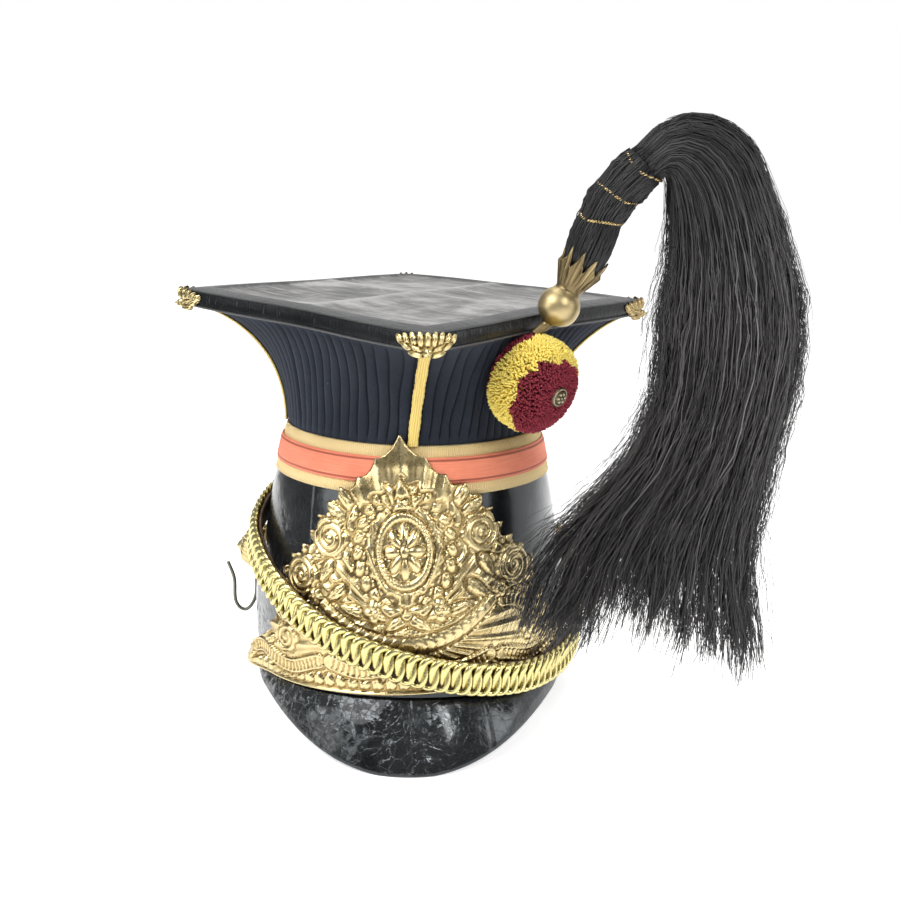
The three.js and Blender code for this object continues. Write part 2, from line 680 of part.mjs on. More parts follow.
// Plume socket: a stem bent towards the rosette, a ball and a cup whose rim ends in pointed leaves.
const towardsRosette = ROSETTE_CENTRE.clone().sub(SOCKET_CENTRE).setZ(0).normalize();
place(
  "plume_socket",
  skin(
    SOCKET_SECTIONS.map(({ along, radius, aside, leaf }) => {
      const centre = SOCKET_CENTRE.clone().addScaledVector(towardsRosette, aside);
      return ringAbout(centre, SOCKET_AXIS, 2 * SOCKET_LEAVES, (i) => {
        return { radius, along: along + (i % 2 ? -leaf : leaf) };
      });
    }),
  ),
  "brass",
);

// Plume stalk, drawn in where the wire rings bind it.
const stalkCentres = STALK_SECTIONS.map(({ x, y, z }) => new THREE.Vector3(x, y, z));

function stalkAxis(i) {
  const before = stalkCentres[Math.max(0, i - 1)];
  const after = stalkCentres[Math.min(stalkCentres.length - 1, i + 1)];
  return after.clone().sub(before).normalize();
}

const stalkRing = (i, radius, along) =>
  ringAbout(stalkCentres[i], stalkAxis(i), STALK_SIDES, () => ({ radius, along }));

place("plume_stalk", skin(STALK_SECTIONS.map(({ radius }, i) => stalkRing(i, radius, 0))), "hair");

STALK_RINGS.forEach((at, i) => {
  const inner = STALK_SECTIONS[at].radius + 2 * GAP;
  const outer = inner + STALK_RING.thickness;
  const { halfLength } = STALK_RING;
  const rings = [
    stalkRing(at, outer, -halfLength),
    stalkRing(at, outer, halfLength),
    stalkRing(at, inner, halfLength),
    stalkRing(at, inner, -halfLength),
  ];
  place(`plume_ring_${i + 1}`, skin(rings, true), "gilt");
});

// Fall of hair: tapering locks side by side between the two edges, fused to one head at the crest.
function fallRing(row, across, halfShare, thickShare, sides) {
  const inner = new THREE.Vector3(row.innerX, row.y, row.innerZ);
  const outer = new THREE.Vector3(row.outerX, row.y, row.outerZ);
  const width = outer.clone().sub(inner);
  const centre = inner.clone().addScaledVector(width, across);
  return loop(sides, (share) => {
    const depth = row.thick * thickShare * Math.sin(turn(share));
    const shift = halfShare * Math.cos(turn(share));
    return centre.clone().addScaledVector(width, shift).add(new THREE.Vector3(0, depth, 0));
  });
}

function lock(i) {
  const half = 1 / (2 * LOCKS);
  const across = (2 * i + 1) * half;
  const last = FALL_SECTIONS.length - 1;
  const rows = FALL_SECTIONS.slice(LOCK_STARTS);
  return skin(
    rows.map((row, k) => {
      const tip = k + LOCK_STARTS === last;
      const spread = tip ? LOCK_SPLAY[i] / LOCKS : 0;
      const taper = tip ? LOCK_TIP : 1;
      const bunch = i % 2 ? 1 : 1 - LOCK_TIP / 2;
      const wide = 2 * half * LOCK_OVERLAP * taper;
      return fallRing(row, clamp(across + spread, half, 1 - half), wide, taper * bunch, LOCK_SIDES);
    }),
  );
}

const head = skin(
  FALL_SECTIONS.slice(0, FALL_HEAD_SECTIONS).map((row) => fallRing(row, 1 / 2, 1 / 2, 1, HEAD_SIDES)),
);
place("plume_fall", joined([head, ...Array.from({ length: LOCKS }, (_, i) => lock(i))]), "hair");

export default cap;
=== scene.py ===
import bpy
import numpy as np
from mathutils import Matrix, Vector


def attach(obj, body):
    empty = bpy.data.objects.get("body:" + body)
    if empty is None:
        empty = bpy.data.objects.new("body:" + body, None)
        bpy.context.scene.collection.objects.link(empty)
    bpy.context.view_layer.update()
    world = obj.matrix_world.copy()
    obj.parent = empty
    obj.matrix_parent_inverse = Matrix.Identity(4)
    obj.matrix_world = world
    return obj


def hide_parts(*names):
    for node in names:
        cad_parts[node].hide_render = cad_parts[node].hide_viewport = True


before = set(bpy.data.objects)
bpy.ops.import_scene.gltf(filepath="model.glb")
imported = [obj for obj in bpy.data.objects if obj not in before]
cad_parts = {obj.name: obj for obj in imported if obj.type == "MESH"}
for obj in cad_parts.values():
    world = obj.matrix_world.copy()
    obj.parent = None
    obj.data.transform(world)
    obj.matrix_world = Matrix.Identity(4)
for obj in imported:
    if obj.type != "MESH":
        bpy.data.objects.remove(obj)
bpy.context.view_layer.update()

# The studio: a camera at the photograph's angle, a pale floor and a white surround with soft lamps.
# The camera stands about 60 cm in front of the cap and looks down on it by 15 degrees. The surround is
# dimmer in front and on the left, so that the varnish stays black there.
MM = 0.001
EYE = Vector((-29.07, -610.93, 296.19)) * MM
YAW, PITCH, ROLL = -0.08121, 0.26697, 0.02432
LENS = 46.0
SENSOR = 36.0
ahead = Vector((-np.sin(YAW) * np.cos(PITCH), np.cos(YAW) * np.cos(PITCH), -np.sin(PITCH)))
level = Vector((np.cos(YAW), np.sin(YAW), 0))
rise = level.cross(ahead)
across = level * np.cos(ROLL) + rise * np.sin(ROLL)
upward = rise * np.cos(ROLL) - level * np.sin(ROLL)
camera = bpy.data.objects.new("camera", bpy.data.cameras.new("camera"))
camera.data.lens, camera.data.sensor_width = LENS, SENSOR
camera.matrix_world = Matrix.Translation(EYE) @ Matrix((across, upward, -ahead)).transposed().to_4x4()
scene = bpy.context.scene
scene.collection.objects.link(camera)
scene.camera = camera
scene.view_settings.view_transform = "Standard"


def feed(tree, socket, value):
    """Sets a socket to a number or a vector, or links it to another node's output."""
    if isinstance(value, bpy.types.NodeSocket):
        tree.links.new(value, socket)
    else:
        socket.default_value = (*value, 1) if np.ndim(value) and len(socket.default_value) == 4 else value


def add_node(tree, kind, output, inputs=(), **settings):
    """Adds one node with its inputs and settings, and returns its output."""
    node = tree.nodes.new("ShaderNode" + kind)
    for key, value in settings.items():
        setattr(node, key, value)
    for key, value in dict(inputs).items():
        feed(tree, node.inputs[key], value)
    return node.outputs[output]


BACKDROP_AIM = (0.0, 1.0, -0.5)
DIM_FRONT = (-0.75, 0.1, 0.2, 1.0)  # from and to along the aim, and the light there
DIM_LEFT = (-0.45, -0.18, 0.22, 1.0)  # the same from the left to the middle
scene.world = bpy.data.worlds.new("surround")
scene.world.use_nodes = True
room = scene.world.node_tree
direction = add_node(room, "TexCoord", "Generated")
facing = add_node(room, "VectorMath", "Value", {0: direction, 1: BACKDROP_AIM}, operation="DOT_PRODUCT")
sideways = add_node(room, "SeparateXYZ", "X", {0: direction})
front, left = (add_node(room, "MapRange", "Result", dict(enumerate((value, *span))))
               for value, span in ((facing, DIM_FRONT), (sideways, DIM_LEFT)))
dimmed = add_node(room, "Math", "Value", {0: front, 1: left}, operation="MULTIPLY")
backdrop = add_node(room, "LightPath", "Is Camera Ray")
strength = add_node(room, "Math", "Value", {0: dimmed, 1: backdrop}, operation="MAXIMUM")
feed(room, room.nodes["Background"].inputs["Color"], (1.0, 1.0, 1.0))
feed(room, room.nodes["Background"].inputs["Strength"], strength)

LAMPS = [  # name, place and target in metres, width and length in metres, watts
    ("key_lamp", (-0.8, -0.5, 1.1), (0.0, 0.0, 0.12), 0.8, 0.8, 14.5),
    ("top_lamp", (0.15, 0.35, 1.4), (0.0, 0.0, 0.2), 0.9, 0.9, 6.0),
    ("strip_lamp", (0.55, -0.95, 0.96), (0.0, -0.1, 0.02), 0.16, 0.6, 5.0),
    ("left_lamp", (-1.1, -0.4, 0.45), (0.0, -0.1, 0.02), 0.6, 0.6, 3.0),
    ("right_lamp", (1.15, -0.35, 0.4), (0.0, -0.1, 0.02), 0.6, 0.6, 3.4),
]
for name, place, target, width, length, watts in LAMPS:
    lamp = bpy.data.objects.new(name, bpy.data.lights.new(name, "AREA"))
    lamp.data.shape, lamp.data.energy = "ELLIPSE", watts
    lamp.data.size, lamp.data.size_y = width, length
    lamp.location = place
    lamp.rotation_euler = (Vector(target) - Vector(place)).to_track_quat("-Z", "Y").to_euler()
    scene.collection.objects.link(lamp)


def made(name, points, *faces, lay=None, marks=()):
    """A smooth mesh from points in millimetres and nets of three- or four-cornered faces. lay gives each
    point's place on the flat material in millimetres, and marks its named numbers."""
    corners = np.concatenate([net.ravel() for net in faces]).astype(np.int32)
    sizes = np.concatenate([np.full(len(net), net.shape[1]) for net in faces])
    mesh = bpy.data.meshes.new(name)
    mesh.vertices.add(len(points))
    mesh.vertices.foreach_set("co", (points * MM).astype(np.float32).ravel())
    mesh.loops.add(len(corners))
    mesh.loops.foreach_set("vertex_index", corners)
    mesh.polygons.add(len(sizes))
    mesh.polygons.foreach_set("loop_start", (np.cumsum(sizes) - sizes).astype(np.int32))
    if lay is not None:
        layer = mesh.uv_layers.new(name="lay")
        layer.uv.foreach_set("vector", lay[corners].astype(np.float32).ravel())
    for mark, values in dict(marks).items():
        numbers = mesh.attributes.new(mark, "FLOAT", "POINT")
        numbers.data.foreach_set("value", values.astype(np.float32).ravel())
    mesh.update(calc_edges=True)
    mesh.validate()
    mesh.shade_smooth()
    piece = bpy.data.objects.new(name, mesh)
    scene.collection.objects.link(piece)
    return piece


class Finish:
    """A material built by short calls: each adds one node and returns its output."""

    def __init__(self, name):
        self.material = bpy.data.materials.new(name)
        self.material.use_nodes = True
        self.tree = self.material.node_tree
        self.shader = self.tree.nodes["Principled BSDF"]
        self.place = self.node("TexCoord", "Object")

    def node(self, kind, output, inputs=(), **settings):
        return add_node(self.tree, kind, output, inputs, **settings)

    def lay(self):
        return self.node("UVMap", "UV", uv_map="lay")

    def mark(self, name):
        return self.node("Attribute", "Fac", attribute_name=name)

    def vector(self, operation, a, b, output="Vector"):
        return self.node("VectorMath", output, {0: a, 1: b}, operation=operation)

    def stretch(self, at, *scale):
        return self.vector("MULTIPLY", at, scale)

    def axis(self, at, which):
        return self.node("SeparateXYZ", which, {0: at})

    def noise(self, scale, detail=4.0, roughness=0.55, warp=0.0, at=None, output="Fac"):
        return self.node("TexNoise", output, {"Vector": at or self.place, "Scale": scale, "Detail": detail,
                                              "Roughness": roughness, "Distortion": warp})

    def cells(self, scale, feature="F1", at=None, output="Distance"):
        return self.node("TexVoronoi", output, {"Vector": at or self.place, "Scale": scale}, feature=feature)

    def flakes(self, scale, at):
        """Plates that are each tilted their own way, in metres above their middles."""
        aside = self.vector("SUBTRACT", at, self.cells(scale, at=at, output="Position"))
        tilt = self.vector("SUBTRACT", self.cells(scale, at=at, output="Color"), (0.5, 0.5, 0.5))
        return self.vector("DOT_PRODUCT", aside, tilt, "Value")

    def waves(self, at, period, along="X", warp=0.0):
        return self.node("TexWave", "Fac", {"Vector": at, "Scale": np.pi / 10 / period, "Distortion": warp,
                                            "Detail": 1.0}, bands_direction=along)

    def math(self, operation, a, b=0.0, c=0.0, clamp=False):
        return self.node("Math", 0, {0: a, 1: b, 2: c}, operation=operation, use_clamp=clamp)

    def times(self, a, b):
        return self.math("MULTIPLY", a, b)

    def span(self, value, low, high):
        """Nought where the value is low or less, and one where it is high or more."""
        return self.node("MapRange", 0, {0: value, 1: low, 2: high, 3: 0.0, 4: 1.0})

    def ramp(self, value, *stops):
        output = self.node("ValToRGB", "Color", {"Fac": value})
        elements = output.node.color_ramp.elements
        while len(elements) < len(stops):
            elements.new(1.0)
        for element, (at, shade) in zip(elements, stops):
            element.position = at
            element.color = (*shade, 1) if np.ndim(shade) else (shade, shade, shade, 1)
        return output

    def mix(self, share, a, b, blend="MIX"):
        return self.node("Mix", 2, {0: share, 6: a, 7: b}, data_type="RGBA", blend_type=blend)

    def tint(self, under, mask, strength, colour):
        """A colour laid over another where the mask is, at a share of its strength."""
        return self.mix(self.times(mask, strength), under, colour)

    def bumps(self, *layers):
        """Heights with their depths in millimetres, each laid over the one before."""
        normal = None
        for height, depth in layers:
            inputs = {"Height": height, "Distance": depth * MM, "Strength": 1.0}
            if normal:
                inputs["Normal"] = normal
            normal = self.node("Bump", "Normal", inputs)
        return normal

    def surface(self, **sockets):
        for key, value in sockets.items():
            socket = key.replace("_", " ").title().replace("Ior", "IOR")
            feed(self.tree, self.shader.inputs[socket], value)
        return self.material


FLOOR_X, FLOOR_Y = (-500, 4000), (-4000, 4000)
floor_points = np.array([[x, y, 0.0] for x in FLOOR_X for y in FLOOR_Y])
floor = made("floor", floor_points, np.array([[0, 2, 3, 1]]))
pale = Finish("pale_paper")
paper = pale.ramp(pale.noise(3.0), (0.3, (0.93, 0.93, 0.93)), (0.7, (0.95, 0.95, 0.95)))
pale.surface(base_color=paper, roughness=0.9, emission_color=(1.0, 1.0, 1.0), emission_strength=0.6)
floor.data.materials.append(pale.material)


# Skull: a body of blocked black patent leather about 2.4 mm thick, oval in plan, sewn up the back.
# Its level rings rise towards the front. The varnish is crazed by age, with a few long upright cracks.
LEAN = 0.14
RIM_HEIGHT = 11.0
SKULL_TOP = 134.0
LEATHER = 2.4
SKULL_SECTIONS = np.array([  # height, half width, half depth
    [9, 85, 103], [35, 86.6, 102.5], [60, 85.5, 100], [90, 79.5, 92], [115, 75.2, 82],
    [130, 70, 75.5], [145.5, 66.8, 71.5],
])


def curve(keys, values):
    """A smooth curve through the rows of a table."""
    keys, values = np.asarray(keys, float), np.asarray(values, float)
    rows = np.arange(len(keys))
    low, high = np.maximum(rows - 1, 0), np.minimum(rows + 1, len(keys) - 1)
    spans = (keys[high] - keys[low]).reshape(-1, *[1] * (values.ndim - 1))
    slopes = (values[high] - values[low]) / spans

    def at(where):
        where = np.asarray(where, float)
        i = np.clip(np.searchsorted(keys, where) - 1, 0, len(keys) - 2)
        span = keys[i + 1] - keys[i]
        t = (where - keys[i]) / span
        if values.ndim > 1:
            t, span = t[..., None], span[..., None]
        a, b = values[i], values[i + 1]
        ta, tb = slopes[i] * span, slopes[i + 1] * span
        return a + t * (ta + t * (3 * (b - a) - 2 * ta - tb + t * (2 * (a - b) + ta + tb)))

    return at


skull_halves = curve(SKULL_SECTIONS[:, 0], SKULL_SECTIONS[:, 1:])


def skull_point(angle, height, offset=0.0):
    angle, height, offset = np.broadcast_arrays(angle, height, offset)
    halves = skull_halves(height)
    x = (halves[..., 0] + offset) * np.cos(angle)
    y = (halves[..., 1] + offset) * np.sin(angle)
    return np.stack([x, y, np.maximum(0, height - LEAN * y)], -1)


def turns(count):
    return np.linspace(0, 2 * np.pi, count, endpoint=False)


def net(rows, columns, endless=False):
    """Faces between rings of points that are laid one after another, the last joined to the first or not."""
    i, j = np.meshgrid(np.arange(rows if endless else rows - 1), np.arange(columns), indexing="ij")
    up, on = (i + 1) % rows, (j + 1) % columns
    row, above = i * columns, up * columns
    return np.stack([row + j, row + on, above + on, above + j], -1).reshape(-1, 4)


def outward(points, faces):
    """The faces, turned round where they enclose their body from the wrong side."""
    a, b, c = (points[faces[:, k]] for k in range(3))
    volume = np.einsum("ij,ij->i", a, np.cross(b, c)).sum()
    if faces.shape[1] == 4:
        d = points[faces[:, 3]]
        volume += np.einsum("ij,ij->i", a, np.cross(c, d)).sum()
    return faces[:, ::-1] if volume < 0 else faces


SKULL_STEPS, SKULL_ROWS, INNER_EVERY = 240, 48, 3
skull_heights = np.linspace(RIM_HEIGHT, SKULL_TOP, SKULL_ROWS)
lip = np.linspace(0, np.pi, 7)[1:-1]
skull_rows = [(h, 0.0) for h in skull_heights] + [(h, -LEATHER) for h in skull_heights[::-INNER_EVERY]]
skull_rows += [(RIM_HEIGHT - LEATHER / 2 * np.sin(t), -LEATHER / 2 * (1 + np.cos(t))) for t in lip]
skull_points = np.concatenate([skull_point(turns(SKULL_STEPS), h, offset) for h, offset in skull_rows])
skull_net = net(len(skull_rows), SKULL_STEPS, endless=True)
skull = made("skull_leather", skull_points, outward(skull_points, skull_net))


CRAZED_PLATES = ((170.0, 0.8), (420.0, 0.9))  # plates to the metre, and their share of the tilt
CRAZED_TILT = 480.0


def patent_leather(name, crazing):
    """Black varnished leather: a hard gloss broken by crazed plates, fine pebbling and dust. The crazing
    lies in patches, most of them low down on the left."""
    leather = Finish(name)
    x, z = (leather.axis(leather.place, which) for which in (0, 2))
    drift = leather.noise(90.0, detail=3.0, output="Color")
    crooked = leather.mix(0.006, leather.place, drift, "ADD")
    plate_gaps = leather.cells(CRAZED_PLATES[0][0], "DISTANCE_TO_EDGE", crooked)
    plate_gaps = leather.ramp(plate_gaps, (0.0, 0.0), (0.04, 1.0))
    left = leather.ramp(leather.math("MULTIPLY_ADD", x, -6.0, 0.5), (0.38, 0.13), (0.74, 1.0))
    low = leather.ramp(leather.times(z, 10.0), (0.25, 1.0), (0.6, 0.12))
    patches = leather.ramp(leather.noise(26.0, detail=5.0), (0.4, 0.1), (0.58, 1.0))
    worn = leather.math("MULTIPLY", leather.times(left, low), patches, clamp=True)
    upright = leather.waves(leather.stretch(leather.place, 1.0, 1.0, 0.10), 0.045, "X", warp=7.0)
    level = leather.waves(leather.stretch(leather.place, 0.5, 0.5, 1.0), 0.03, "Z", warp=14.0)
    level_cracks = leather.ramp(level, (0.0, 0.0), (0.008, 1.0))
    facets = [leather.times(leather.times(leather.flakes(scale, crooked), tilt), worn)
              for scale, tilt in CRAZED_PLATES]
    normal = leather.bumps(
        (leather.noise(24.0, detail=2.0, roughness=0.4), 1.3),
        (leather.noise(90.0, detail=3.0, roughness=0.4), 0.09 * crazing),
        (leather.noise(700.0, detail=3.0), 0.006),
        (leather.ramp(upright, (0.0, 0.0), (0.014, 1.0)), 0.3),
        (leather.mix(worn, (1, 1, 1), level_cracks), 0.3),
        *((facet, CRAZED_TILT * crazing) for facet in facets),
        (leather.mix(worn, (1, 1, 1), plate_gaps), 0.2 * crazing),
    )
    dust = leather.ramp(leather.noise(90.0, detail=8.0, roughness=0.7), (0.45, (0.004, 0.0045, 0.005)),
                        (0.75, (0.014, 0.015, 0.016)))
    leather.surface(
        base_color=leather.tint(dust, worn, 0.35, (0.05, 0.053, 0.057)),
        roughness=leather.ramp(leather.noise(60.0, detail=6.0), (0.3, 0.14), (0.75, 0.3)),
        normal=normal, specular_tint=(0.87, 0.95, 1.0), coat_weight=0.25, coat_roughness=0.06,
    )
    return leather.material


def fitted(piece, material, slot, *nodes):
    """Gives a piece its material and its place on the cap, and hides the parts of the model that it stands
    for.
    """
    piece.data.materials.append(material)
    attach(piece, "root")
    if nodes:
        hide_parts(*nodes)
    return piece


fitted(skull, patent_leather("patent_leather", 1.0), "patent_leather", "skull")


# Peak: a curved sheet of the same patent leather, stitched under the skull's front edge. Its ends run
# out into the sides, and it is at its widest and lowest in front.
FRONT, GAP = -np.pi / 2, 0.3
PEAK_TURN, PEAK_HALF_ANGLE = np.radians(-4), np.radians(80)
PEAK_REACH, PEAK_REACH_POWER = 18.5, 4.0
PEAK_RISE_POWER, PEAK_DROP, PEAK_FLAT = 2.4, 3.0, 0.6
PEAK_ROOT = {"side": 1.2, "front": 6.0, "power": 3.0}
PEAK_ROOT_DEPTH, PEAK_BULGE, PEAK_END = 4.2, 1.6, 0.2
PEAK_STEPS = 160


def unit(vectors):
    return vectors / np.linalg.norm(vectors, axis=-1, keepdims=True)


def smoothstep(value, low, high):
    t = np.clip((value - low) / (high - low), 0, 1)
    return t * t * (3 - 2 * t)


def peak_sections():
    aside = np.linspace(PEAK_HALF_ANGLE, -PEAK_HALF_ANGLE, PEAK_STEPS)
    angle, forward = FRONT + PEAK_TURN + aside, np.cos(aside)
    root_rise = (PEAK_ROOT["front"] - PEAK_ROOT["side"]) * forward ** PEAK_ROOT["power"]
    root = skull_point(angle, RIM_HEIGHT + PEAK_ROOT["side"] + root_rise, GAP)
    out = np.stack([np.cos(angle), np.sin(angle), 0 * angle], -1)
    up = np.array([0, 0, 1.0])
    edge_height = np.maximum(0, (root[:, 2] - PEAK_DROP) * (1 - forward ** PEAK_RISE_POWER) - PEAK_FLAT)
    edge = root + out * (LEATHER + PEAK_REACH * forward ** PEAK_REACH_POWER)[:, None]
    edge[:, 2] = edge_height
    bulge = unit(out + up) * (PEAK_BULGE * forward)[:, None]
    root_low = root.copy()
    root_low[:, 2] = np.maximum(edge_height, root[:, 2] - PEAK_ROOT_DEPTH)
    half = LEATHER / 2

    def bowed(a, b, shares):
        return [a + (b - a) * t + bulge * (4 * t * (1 - t)) for t in shares]

    arc = [edge + out * (half * (np.cos(t) - 1)) + up * (half * (1 - np.sin(t)))
           for t in np.linspace(np.pi / 2, 0, 6)]
    top = bowed(arc[-1], root, np.linspace(0, 1, 22)[1:])
    under = bowed(root_low, arc[0], np.linspace(0, 1, 12)[:-1])
    ends = PEAK_END + (1 - PEAK_END) * smoothstep(forward, forward.min(), 0.5)
    return root[:, None] + (np.stack(arc + top + under, 1) - root[:, None]) * ends[:, None, None]


def capped(sections):
    """Points and faces of a body through rings of points, closed by a fan at each end."""
    count, size = sections.shape[:2]
    points = np.concatenate([sections.reshape(-1, 3), sections[[0, -1]].mean(1)])
    sides = net(count, size)
    on = np.roll(np.arange(size), -1)
    first = np.stack([on, np.arange(size), np.full(size, count * size)], -1)
    last = np.stack([np.arange(size), on, np.full(size, count * size + 1)], -1)
    last[:, :2] += (count - 1) * size
    return points, outward(points, np.concatenate([sides[:, :3], sides[:, [0, 2, 3]], first, last]))


peak = made("peak_leather", *capped(peak_sections()))
fitted(peak, patent_leather("peak_patent", 1.25), "patent_leather", "peak")


# Top board: a square of leather over a stiff shallow tray, with a smooth dark border, a sunken worn
# panel crossed by two low ridges, an upright edge and a fine welt along its lower edge.
TOP_HEIGHT, TOP_HALF_DIAGONAL, TOP_EDGE = 215.0, 121.5, 9.5
TOP_SKIRT, TOP_ROUNDING = 2.8, 1.2
CORNER_DROOP, DROOP_POWER = 0.5, 4
LEFT_RISE, BACK_SINK = 2.6, 2.4
SQUARE_POWER, SQUARE_HOLLOW = 1.06, 0.06
EDGE_BOTTOM = TOP_HEIGHT - TOP_EDGE
PANEL_EDGE = (0.835, 0.875)
PANEL_SUNK, BORDER_FALL, RIDGE, SAG = 0.7, 1.3, 0.9, 1.6
RIDGE_HALF, RIDGE_OFF = 4.5, (6, -4)
EDGE_BOW, WELT_BOW, WELT_RADIUS = 0.35, 0.55, 0.75
BOARD_STEPS = 264
BOARD_SHARES = ((0.004, 0.82, 44), (0.825, 0.89, 14), (0.9, 0.985, 8))  # rings of panel, its edge and border


def square_point(angle, half_diagonal, height):
    angle, half_diagonal, height = np.broadcast_arrays(angle, half_diagonal, height)
    spread = np.abs(np.cos(angle)) ** SQUARE_POWER + np.abs(np.sin(angle)) ** SQUARE_POWER
    radius = half_diagonal / spread ** (1 / SQUARE_POWER) * (1 - SQUARE_HOLLOW * np.sin(2 * angle) ** 2)
    droop = CORNER_DROOP * (radius / TOP_HALF_DIAGONAL) ** DROOP_POWER
    warp = LEFT_RISE * np.clip(-np.cos(angle), 0, 1) ** 2 - BACK_SINK * np.clip(np.sin(angle), 0, 1) ** 2
    warp = warp * (radius / TOP_HALF_DIAGONAL) ** 2
    return np.stack([radius * np.cos(angle), radius * np.sin(angle), height - droop + warp], -1)


def hump(offset, half):
    """One in the middle, and next to nothing at twice the half width on either side."""
    return np.exp(-(offset / half) ** 2)


def board_top(share):
    """A ring of the worn top at a share of the way from the middle to the edge, and where its ridges are."""
    ring = square_point(turns(BOARD_STEPS), TOP_HALF_DIAGONAL * share, TOP_HEIGHT)
    p, q = (ring[:, 0] + ring[:, 1]) / np.sqrt(2), (ring[:, 0] - ring[:, 1]) / np.sqrt(2)
    side = TOP_HALF_DIAGONAL / np.sqrt(2)
    inside = 1 - smoothstep(share, *PANEL_EDGE)
    sag = SAG * np.sin(np.pi * np.abs(p) / side) * np.sin(np.pi * np.abs(q) / side)
    ridge = np.maximum(*(hump(place - off, RIDGE_HALF) for place, off in zip((p, q), RIDGE_OFF)))
    fall = BORDER_FALL * np.clip((share - PANEL_EDGE[1]) / (1 - PANEL_EDGE[1]), 0, 1) ** 1.6
    ring[:, 2] += inside * (RIDGE * ridge - sag - PANEL_SUNK) - fall
    return ring, inside * ridge


def laid(across, along):
    """The places on a flat material of rows of points: one number for each column and one for each row."""
    return np.stack(np.broadcast_arrays(across[None, :], along[:, None]), -1).reshape(-1, 2)


shares = np.concatenate([np.linspace(*span) for span in BOARD_SHARES])
rounding = np.linspace(0, np.pi / 2, 6)
rounded = TOP_HALF_DIAGONAL - TOP_ROUNDING * (1 - np.sin(rounding))
lowered = TOP_HEIGHT - BORDER_FALL - TOP_ROUNDING * (1 - np.cos(rounding))
welt_turn = np.linspace(0, np.pi, 7)
edge_heights = np.linspace(lowered[-1], EDGE_BOTTOM + 2 * WELT_RADIUS, 9)[1:]
tray = TOP_HALF_DIAGONAL - TOP_SKIRT
skirt = [*zip(rounded, lowered)]
skirt += [(TOP_HALF_DIAGONAL + EDGE_BOW * np.sin(np.pi * t), h)
          for t, h in zip(np.linspace(0.1, 1, 8), edge_heights)]
skirt += [(TOP_HALF_DIAGONAL + WELT_BOW * np.sin(t), EDGE_BOTTOM + WELT_RADIUS * (1 + np.cos(t)))
          for t in welt_turn]
skirt += [(tray, EDGE_BOTTOM), (tray, TOP_HEIGHT - LEATHER - BORDER_FALL)]
skirt += [(TOP_HALF_DIAGONAL * t, TOP_HEIGHT - 2 * LEATHER) for t in (0.9, 0.6, 0.3, 0.01)]
board_rings, board_ridges = zip(*(board_top(s) for s in shares))
skirt_rings = [square_point(turns(BOARD_STEPS), r, h) for r, h in skirt]
board_points, board_faces = capped(np.stack([*board_rings, *skirt_rings]))
run = np.linspace(0, 4 * TOP_HALF_DIAGONAL * np.sqrt(2), BOARD_STEPS, endpoint=False)
depths = np.concatenate([np.zeros(len(shares)), [TOP_HEIGHT - h for _, h in skirt]])
board_lay = np.concatenate([laid(run, depths), np.zeros((2, 2))])
inner = np.concatenate([1 - smoothstep(shares, *PANEL_EDGE), np.zeros(len(skirt))])
inner = np.concatenate([np.repeat(inner, BOARD_STEPS), [1, 0]])
ridge_highlight = np.concatenate([*board_ridges, np.zeros(len(skirt) * BOARD_STEPS + 2)])
board = made("top_board_leather", board_points, board_faces, lay=board_lay,
             marks={"panel": inner, "ridge_highlight": ridge_highlight})

hide = Finish("worn_leather")
panel = hide.mark("panel")
diagonal = hide.node("VectorRotate", "Vector", {"Vector": hide.place, "Angle": np.pi / 4},
                     rotation_type="Z_AXIS")
streaks = hide.noise(55.0, detail=11.0, roughness=0.7, at=hide.stretch(diagonal, 0.4, 1.2, 1.0), warp=0.3)
rubbed = hide.noise(26.0, detail=7.0, roughness=0.66, warp=0.5)
flecks = hide.noise(260.0, detail=9.0, roughness=0.75, at=hide.stretch(diagonal, 0.1, 1.3, 1.0))
flecks = hide.ramp(flecks, (0.5, 0.0), (0.62, 1.0))
upright = hide.noise(1.1, detail=3.0, at=hide.stretch(hide.lay(), 1.0, 0.12, 1.0))
down = hide.times(hide.axis(hide.lay(), 1), 0.1)
nicks = hide.times(hide.ramp(upright, (0.62, 0.0), (0.75, 1.0)), hide.ramp(down, (0.16, 0.0), (0.3, 1.0)))
welt = hide.ramp(down, (0.83, 0.0), (0.87, 1.0), (0.93, 1.0), (0.96, 0.0))
black = hide.ramp(streaks, (0.35, (0.004, 0.0045, 0.005)), (0.8, (0.014, 0.015, 0.017)))
grey = hide.ramp(hide.mix(0.5, streaks, rubbed), (0.38, (0.04, 0.04, 0.04)), (0.49, (0.14, 0.138, 0.135)),
                 (0.62, (0.38, 0.375, 0.37)))
shade = hide.mix(panel, black, hide.tint(grey, flecks, 0.32, (0.55, 0.54, 0.53)))
# Painted highlight: the two low ridges across the panel are laid lighter.
shade = hide.tint(shade, hide.mark("ridge_highlight"), 0.45, (0.5, 0.495, 0.49))
shade = hide.tint(shade, nicks, 0.5, (0.14, 0.145, 0.15))
shade = hide.tint(shade, welt, 0.4, (0.16, 0.16, 0.16))
normal = hide.bumps((hide.noise(45.0, detail=4.0, at=hide.stretch(diagonal, 0.5, 1.4, 1.0)), 1.1),
                    (hide.noise(520.0, detail=5.0, roughness=0.7), 0.09), (upright, 0.22))
hide.surface(base_color=shade, normal=normal, specular_ior_level=0.22,
             roughness=hide.mix(panel, (0.27, 0.27, 0.27), hide.ramp(streaks, (0.3, 0.38), (0.7, 0.6))))
fitted(board, hide.material, "worn_leather", "top_board")


